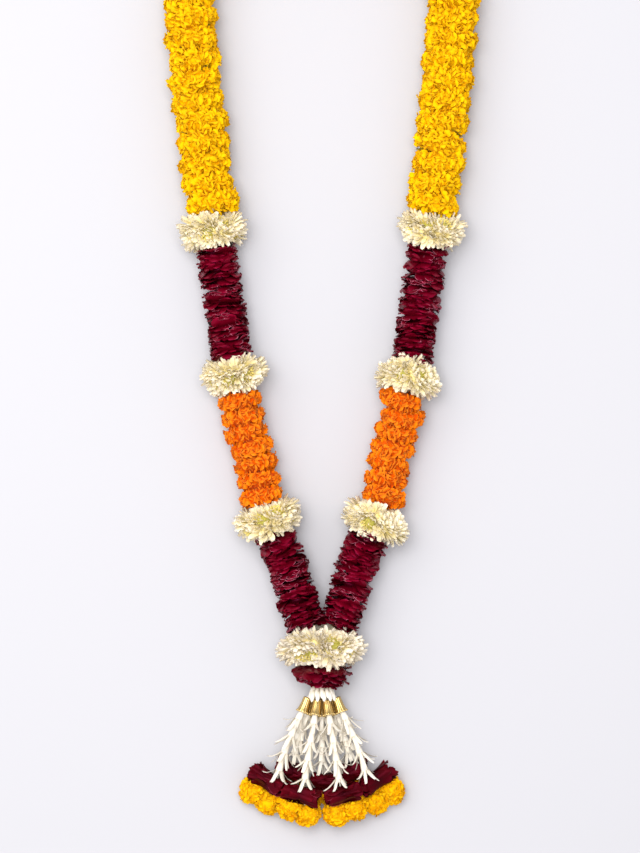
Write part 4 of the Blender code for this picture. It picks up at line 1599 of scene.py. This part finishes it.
@dataclass
class Tassel:
    """The fan of tuberose strands, each with a gilt cup, florets, a roll and two marigolds."""

    florist: Florist
    floret: Model
    bell: Model
    rng: np.random.Generator = seeded(53)
    florets: int = 4
    first_depth: float = 0.58  # how far the first floret reaches up into its cup
    first_share: float = 0.35  # the share of that which its tube is short by
    last_clear: float = 0.0125  # how far the last one ends before the roll
    last_open: float = 0.15  # how much wider than the others it opens, in radians
    floret_long: float = 0.96  # its tube's length, as a share of its room
    tube_radius: float = 0.0040
    tube_nested: float = 0.003  # how far a tube reaches back into the one before
    petals: int = 8  # of a floret
    petal_widths: tuple = (0.0034, 0.0044)
    petal_length: float = 0.0170
    petal_lengths: tuple = (0.8, 1.2)  # how that varies
    petal_curls: tuple = (0.3, 1.6)  # how far a petal rolls back, at least and at most
    petal_depth: float = 0.010
    petal_root: float = 0.0035  # how far inside the tube's mouth its petals grow
    petal_leans: tuple = (0.70, 0.28)  # how far one petal and the next open, in radians
    cup_rim: float = 0.0065  # the radius of a cup's rim
    ribs: int = 12
    rib_depth: float = 0.10
    beads: int = 14
    bead_radius: float = 0.00105
    roll_petals: int = 26
    roll_depths: tuple = (0.74, 1.0)  # how far out its inmost and outmost petals lie, in radii
    roll_widths: tuple = (1.1, 2.1)  # how far round a petal goes, in radians
    roll_lengths: tuple = (0.50, 0.75)  # a petal's length, as a share of the roll's
    roll_outer: tuple = (-0.004, 0.007)  # how far past the roll's outer end petals reach
    roll_inner: tuple = (-0.006, 0.002)  # and past its inner end
    roll_flare: float = 0.10  # how far petals open at its inner end
    roll_flares: tuple = (0.2, 1.6)  # how that varies
    roll_fold: float = 0.14  # how deep petals are folded, in radii
    roll_folds: tuple = (4, 8)  # how many folds they have round the roll, to below the second
    roll_thickness: float = 0.022  # what a petal's own depth is multiplied by
    # Each ring of buds: how many, its radius, and how far it lies towards the tassel.
    buds: tuple = ((12, 0.0105, -0.0025), (8, 0.0060, -0.003), (11, 0.0118, 0.0015))
    bud_radius: float = 0.0023
    bud_leans: tuple = (0.15, 0.40)  # how far buds lean out
    bud_halves: tuple = (0.0058, 0.0072)  # half a bud's length, at least and at most

    def floret_petals(self, open_more: float) -> Spray:
        """Works out the petals at one floret's mouth.

        Args:
            open_more: How much wider than usual they open, in radians.

        Returns:
            The petals.
        """
        rng, count = self.rng, self.petals
        out = around(spread_round(count, rng.uniform(0, 1)) + rng.normal(0, 0.1, count))
        tilt = np.resize(self.petal_leans, count) + rng.normal(0, 0.07, count) + open_more
        ways = unit(out * np.sin(tilt)[:, None] + AXIS * np.cos(tilt)[:, None])
        wide = rng.uniform(*self.petal_widths, count)
        length = self.petal_length * rng.uniform(*self.petal_lengths, count)
        sizes = np.stack([wide, length, np.full(count, self.petal_depth)], axis=1)
        roots = out * self.tube_radius * 1.02 - AXIS * self.petal_root
        bends = -rng.uniform(*self.petal_curls, count)
        return Spray(roots, ways, faced(ways, -out), sizes, bends, rng.uniform(0.2, 1, count))

    def make_florets(self, strand: Strand, side: Side) -> None:
        """Makes the florets of one strand, nested one in the next.

        Args:
            strand: The strand.
            side: Its side.
        """
        points = (strand.cup, strand.mouth, *strand.route, strand.crossing)
        route = Route([placed(p, side.value) for p in points])
        drop = float(np.linalg.norm(np.array(strand.mouth) - np.array(strand.cup)))
        start, end = drop * (1 - self.first_depth), route.length - self.last_clear
        first = start + drop * self.first_depth * self.first_share
        pitch = (end - first) / self.florets
        # A back strand's pale marks paint light on petals that lie in the front strands' shade.
        finger = self.florist.finger.marked(0.3, 0.3 + strand.pale)
        tube = self.floret.marked(0.3, 0.25 + strand.pale)
        found = Gathering()
        for number in range(self.florets):
            base = route.at(first + pitch * number - self.tube_nested)
            mouth = route.at(first + pitch * (number + self.floret_long))
            axes = axes_along(unit(mouth - base))
            size = (self.tube_radius, float(np.linalg.norm(mouth - base)), self.tube_radius)
            found.solid(tube, size, axes[[0, 2, 1]], base, self.rng.uniform(0.3, 1))
            petals = self.floret_petals(self.last_open * (number == self.florets - 1))
            found.spray(finger, petals, axes, mouth)
        tag = strand.tag(side)
        self.florist.hand_over(found, f"tuberose_{tag}", "tuberose", "tuberose_petals",
                               f"tuberose_strand_{tag}")

    def make_cup(self, strand: Strand, side: Side) -> None:
        """Makes the ribbed gilt bell over a strand, with a beaded rim.

        Args:
            strand: The strand.
            side: Its side.
        """
        top, mouth = placed(strand.cup, side.value), placed(strand.mouth, side.value)
        axes = axes_along(unit(mouth - top))
        height = float(np.linalg.norm(mouth - top))
        angle = np.arctan2(self.bell.points[:, 2], self.bell.points[:, 0])
        rib = 0.5 + 0.5 * np.cos(angle * self.ribs)
        radius = self.cup_rim * (1 - self.rib_depth * (1 - rib))
        size = np.stack([radius, np.full_like(rib, height), radius], axis=1)
        # The second mark is painted shade, highest in the hollows between the ribs.
        marks = np.stack([self.bell.marks[:, 0], (1 - rib) * 0.9, np.zeros_like(rib)], axis=1)
        found = Gathering()
        found.solid(replace(self.bell, marks=marks), size, axes[[0, 2, 1]], top, 0.5)
        bead = self.florist.ball.plain(0.15)
        centres = (around(spread_round(self.beads)) * self.cup_rim * 0.97) @ axes + mouth
        points = bead.points[None] * self.bead_radius + centres[:, None, :]
        found.put(points, bead.faces, bead.marks, np.full(self.beads, 0.5))
        tag = strand.tag(side)
        self.florist.hand_over(found, f"gilt_cup_{tag}", "gilt", "gilt_metal", f"gold_cup_{tag}")

    def column(self, low: float, high: float) -> np.ndarray:
        """A number for each petal of a roll, as a column."""
        return self.rng.uniform(low, high, self.roll_petals)[:, None]

    def make_roll(self, strand: Strand, side: Side) -> None:
        """Makes a roll of rose petals folded lengthwise, with frilled tips at its ends.

        Args:
            strand: The strand.
            side: Its side.
        """
        a, b = (placed(end, side.value) - (0, strand.roll_drop, 0) for end in strand.roll)
        axes = axes_along(unit(b - a))
        long = float(np.linalg.norm(b - a))
        rose, radius, count = self.florist.rose, strand.roll_radius, self.roll_petals
        x, y, z = rose.points.T
        turn = (np.arange(count) * GOLDEN + self.rng.normal(0, 0.2, count))[:, None]
        way = np.resize((-1.0, 1.0), count)[:, None]  # which of the roll's ends a petal grows to
        depth = np.linspace(*self.roll_depths, count)[:, None]
        wide = self.column(*self.roll_widths)
        length = long * self.column(*self.roll_lengths)
        over = np.where(way > 0, self.column(*self.roll_outer), self.column(*self.roll_inner))
        flare = np.where(way > 0, strand.flare, self.roll_flare) * self.column(*self.roll_flares)
        angle = turn + way * x * wide
        number = self.rng.integers(*self.roll_folds, count)[:, None]
        folds = self.roll_fold * np.sin(angle * number + turn * 3)
        swell = 0.84 + 0.16 * np.sin(math.pi * (0.2 + 0.6 * y))
        rho = radius * depth * (swell + folds * (0.3 + y) + flare * y**5)
        rho = rho + z * self.roll_thickness
        along = np.where(way > 0, long + over - length, length - over) + way * y * length
        local = np.stack([rho * np.cos(angle), rho * np.sin(angle), along], axis=-1)
        found = Gathering()
        found.put(local @ axes + a, outward(rose.faces, axes), rose.marks,
                  self.rng.uniform(0, 1, count))
        size = (radius * 0.7, radius * 0.7, long * 0.5)
        found.solid(self.florist.ball.plain(), size, axes, a, 0.2, long / 2)
        tag = strand.tag(side)
        self.florist.hand_over(found, f"rose_roll_{tag}", "roll", "rose_petals",
                               f"petal_roll_{tag}")

    def make_poms(self, strand: Strand, side: Side) -> None:
        """Makes the two small marigolds of a strand.

        Args:
            strand: The strand.
            side: Its side.
        """
        radius = strand.pom_radius * strand.pom_fluff
        kind = MarigoldHead(self.florist, self.rng, radius, radius, petals=176, width=0.36,
                            curl=1.4, roundness=0.985, sepals=0, core=0.76, gather_in=0.0)
        tag = strand.tag(side)
        for number, centre in enumerate(strand.poms, 1):
            axes = axes_along(unit(self.rng.normal(0, 1, 3)))
            found = kind.gather(placed(centre, side.value) - (0, strand.pom_drop, 0), axes)
            self.florist.hand_over(found, f"small_marigold_{tag}_{number}", "small",
                                   "yellow_petals", f"small_marigolds_{tag}")

    def make_buds(self) -> None:
        """Makes the tuberose buds between the collar and the cups."""
        found, ball = Gathering(), self.florist.ball
        low, high = (np.array(corner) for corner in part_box("tuberose_bud_neck"))
        marks = ball.marks.copy()
        marks[:, 1] = 0.5 + 0.5 * ball.points[:, 2]
        bud = replace(ball, marks=marks)
        for count, reach, shift in self.buds:
            out = around(spread_round(count, self.rng.uniform(0, 1)))
            ways = unit(out * self.rng.uniform(*self.bud_leans, count)[:, None] + AXIS)
            for way, side in zip(ways, out):
                size = (self.bud_radius, self.bud_radius, self.rng.uniform(*self.bud_halves))
                centre = (low + high) / 2 + (side * reach + AXIS * shift) @ DOWN_TASSEL
                found.solid(bud, size, axes_along(way @ DOWN_TASSEL), centre,
                            self.rng.uniform(0.3, 1))
        self.florist.hand_over(found, "tuberose_buds", "tuberose", "tuberose_petals",
                               "tuberose_bud_neck")

    def build(self) -> None:
        """Makes the whole tassel."""
        self.make_buds()
        for strand in STRANDS:
            for side in strand.sides:
                self.make_cup(strand, side)
                self.make_florets(strand, side)
                self.make_roll(strand, side)
                self.make_poms(strand, side)


# ---------------------------------------------------------------- the studio
@dataclass(frozen=True)
class Lamp:
    """A square soft light."""

    name: str
    place: tuple
    size: float
    power: float
    colour: tuple


@dataclass
class Studio:
    """The floor, the soft light and the camera over the garland."""

    middle: tuple = (-0.0021, -0.1033)  # of the view, in X and Y
    view_height: float = 0.896
    camera_height: float = 2.6
    sensor: float = 24.0
    focus_z: float = 0.03
    floor_size: float = 14.0
    lamps: tuple = (
        Lamp("key", (-1.3, 0.8, 2.3), 2.2, 32.0, (1.0, 0.985, 0.96)),
        Lamp("overhead", (-0.20, 0.25, 2.75), 1.7, 64.0, (1.0, 0.99, 1.0)),
    )
    sky: tuple = (0.96, 0.96, 1.0)
    sky_strength: float = 0.84

    def add_lamp(self, lamp: Lamp) -> None:
        """Adds a light, aimed at the middle of the view.

        Args:
            lamp: The light.
        """
        light = bpy.data.lights.new(lamp.name, "AREA")
        light.shape, light.size = "SQUARE", lamp.size
        light.energy, light.color = lamp.power, lamp.colour
        ob = bpy.data.objects.new(lamp.name, light)
        bpy.context.scene.collection.objects.link(ob)
        ob.location = lamp.place
        aim = Vector((*self.middle, 0.0)) - Vector(lamp.place)
        ob.rotation_euler = aim.to_track_quat("-Z", "Y").to_euler()

    def add_floor(self) -> None:
        """Adds the board that the garland lies on."""
        floor = added(bpy.ops.mesh.primitive_plane_add, size=self.floor_size)
        floor.name = "floor"
        floor.data.materials.append(FloorFinish().make())

    def add_sky(self) -> None:
        """Adds the even light from all round."""
        world = bpy.data.worlds.new("sky")
        world.use_nodes = True
        background = world.node_tree.nodes["Background"]
        background.inputs[0].default_value = (*self.sky, 1.0)
        background.inputs[1].default_value = self.sky_strength
        bpy.context.scene.world = world

    def add_camera(self) -> None:
        """Adds the camera, which looks straight down."""
        lens = bpy.data.cameras.new("camera")
        lens.sensor_fit, lens.sensor_height = "VERTICAL", self.sensor
        lens.sensor_width = self.sensor
        lens.lens = (self.camera_height - self.focus_z) * self.sensor / self.view_height
        camera = bpy.data.objects.new("camera", lens)
        camera.location = (*self.middle, self.camera_height)
        bpy.context.scene.collection.objects.link(camera)
        bpy.context.scene.camera = camera

    def build(self) -> None:
        """Makes the stage."""
        self.add_floor()
        for lamp in self.lamps:
            self.add_lamp(lamp)
        self.add_sky()
        bpy.context.scene.view_settings.view_transform = "Standard"
        self.add_camera()


def main() -> None:
    """Builds the garland part by part."""
    logging.basicConfig(level=logging.INFO, format="%(name)s %(message)s")
    Studio().build()
    finishes = {key: finish.make() for key, finish in FINISHES.items()}
    florist = Florist(MARIGOLD_PETAL.model(), RAY_PETAL.model(), ROSE_PETAL.model(),
                      FINGER_PETAL.model(), make_ball(), finishes)
    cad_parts["garland_string"].material_slots[0].material = CottonFinish().make()
    Marigolds(florist).build()
    ChrysanthemumRings(florist).build()
    RosePetals(florist).build()
    Tassel(florist, FLORET_TUBE.model(), BELL.model()).build()
    LOG.info("%d pieces", len(florist.names))


if __name__ == "__main__":
    main()
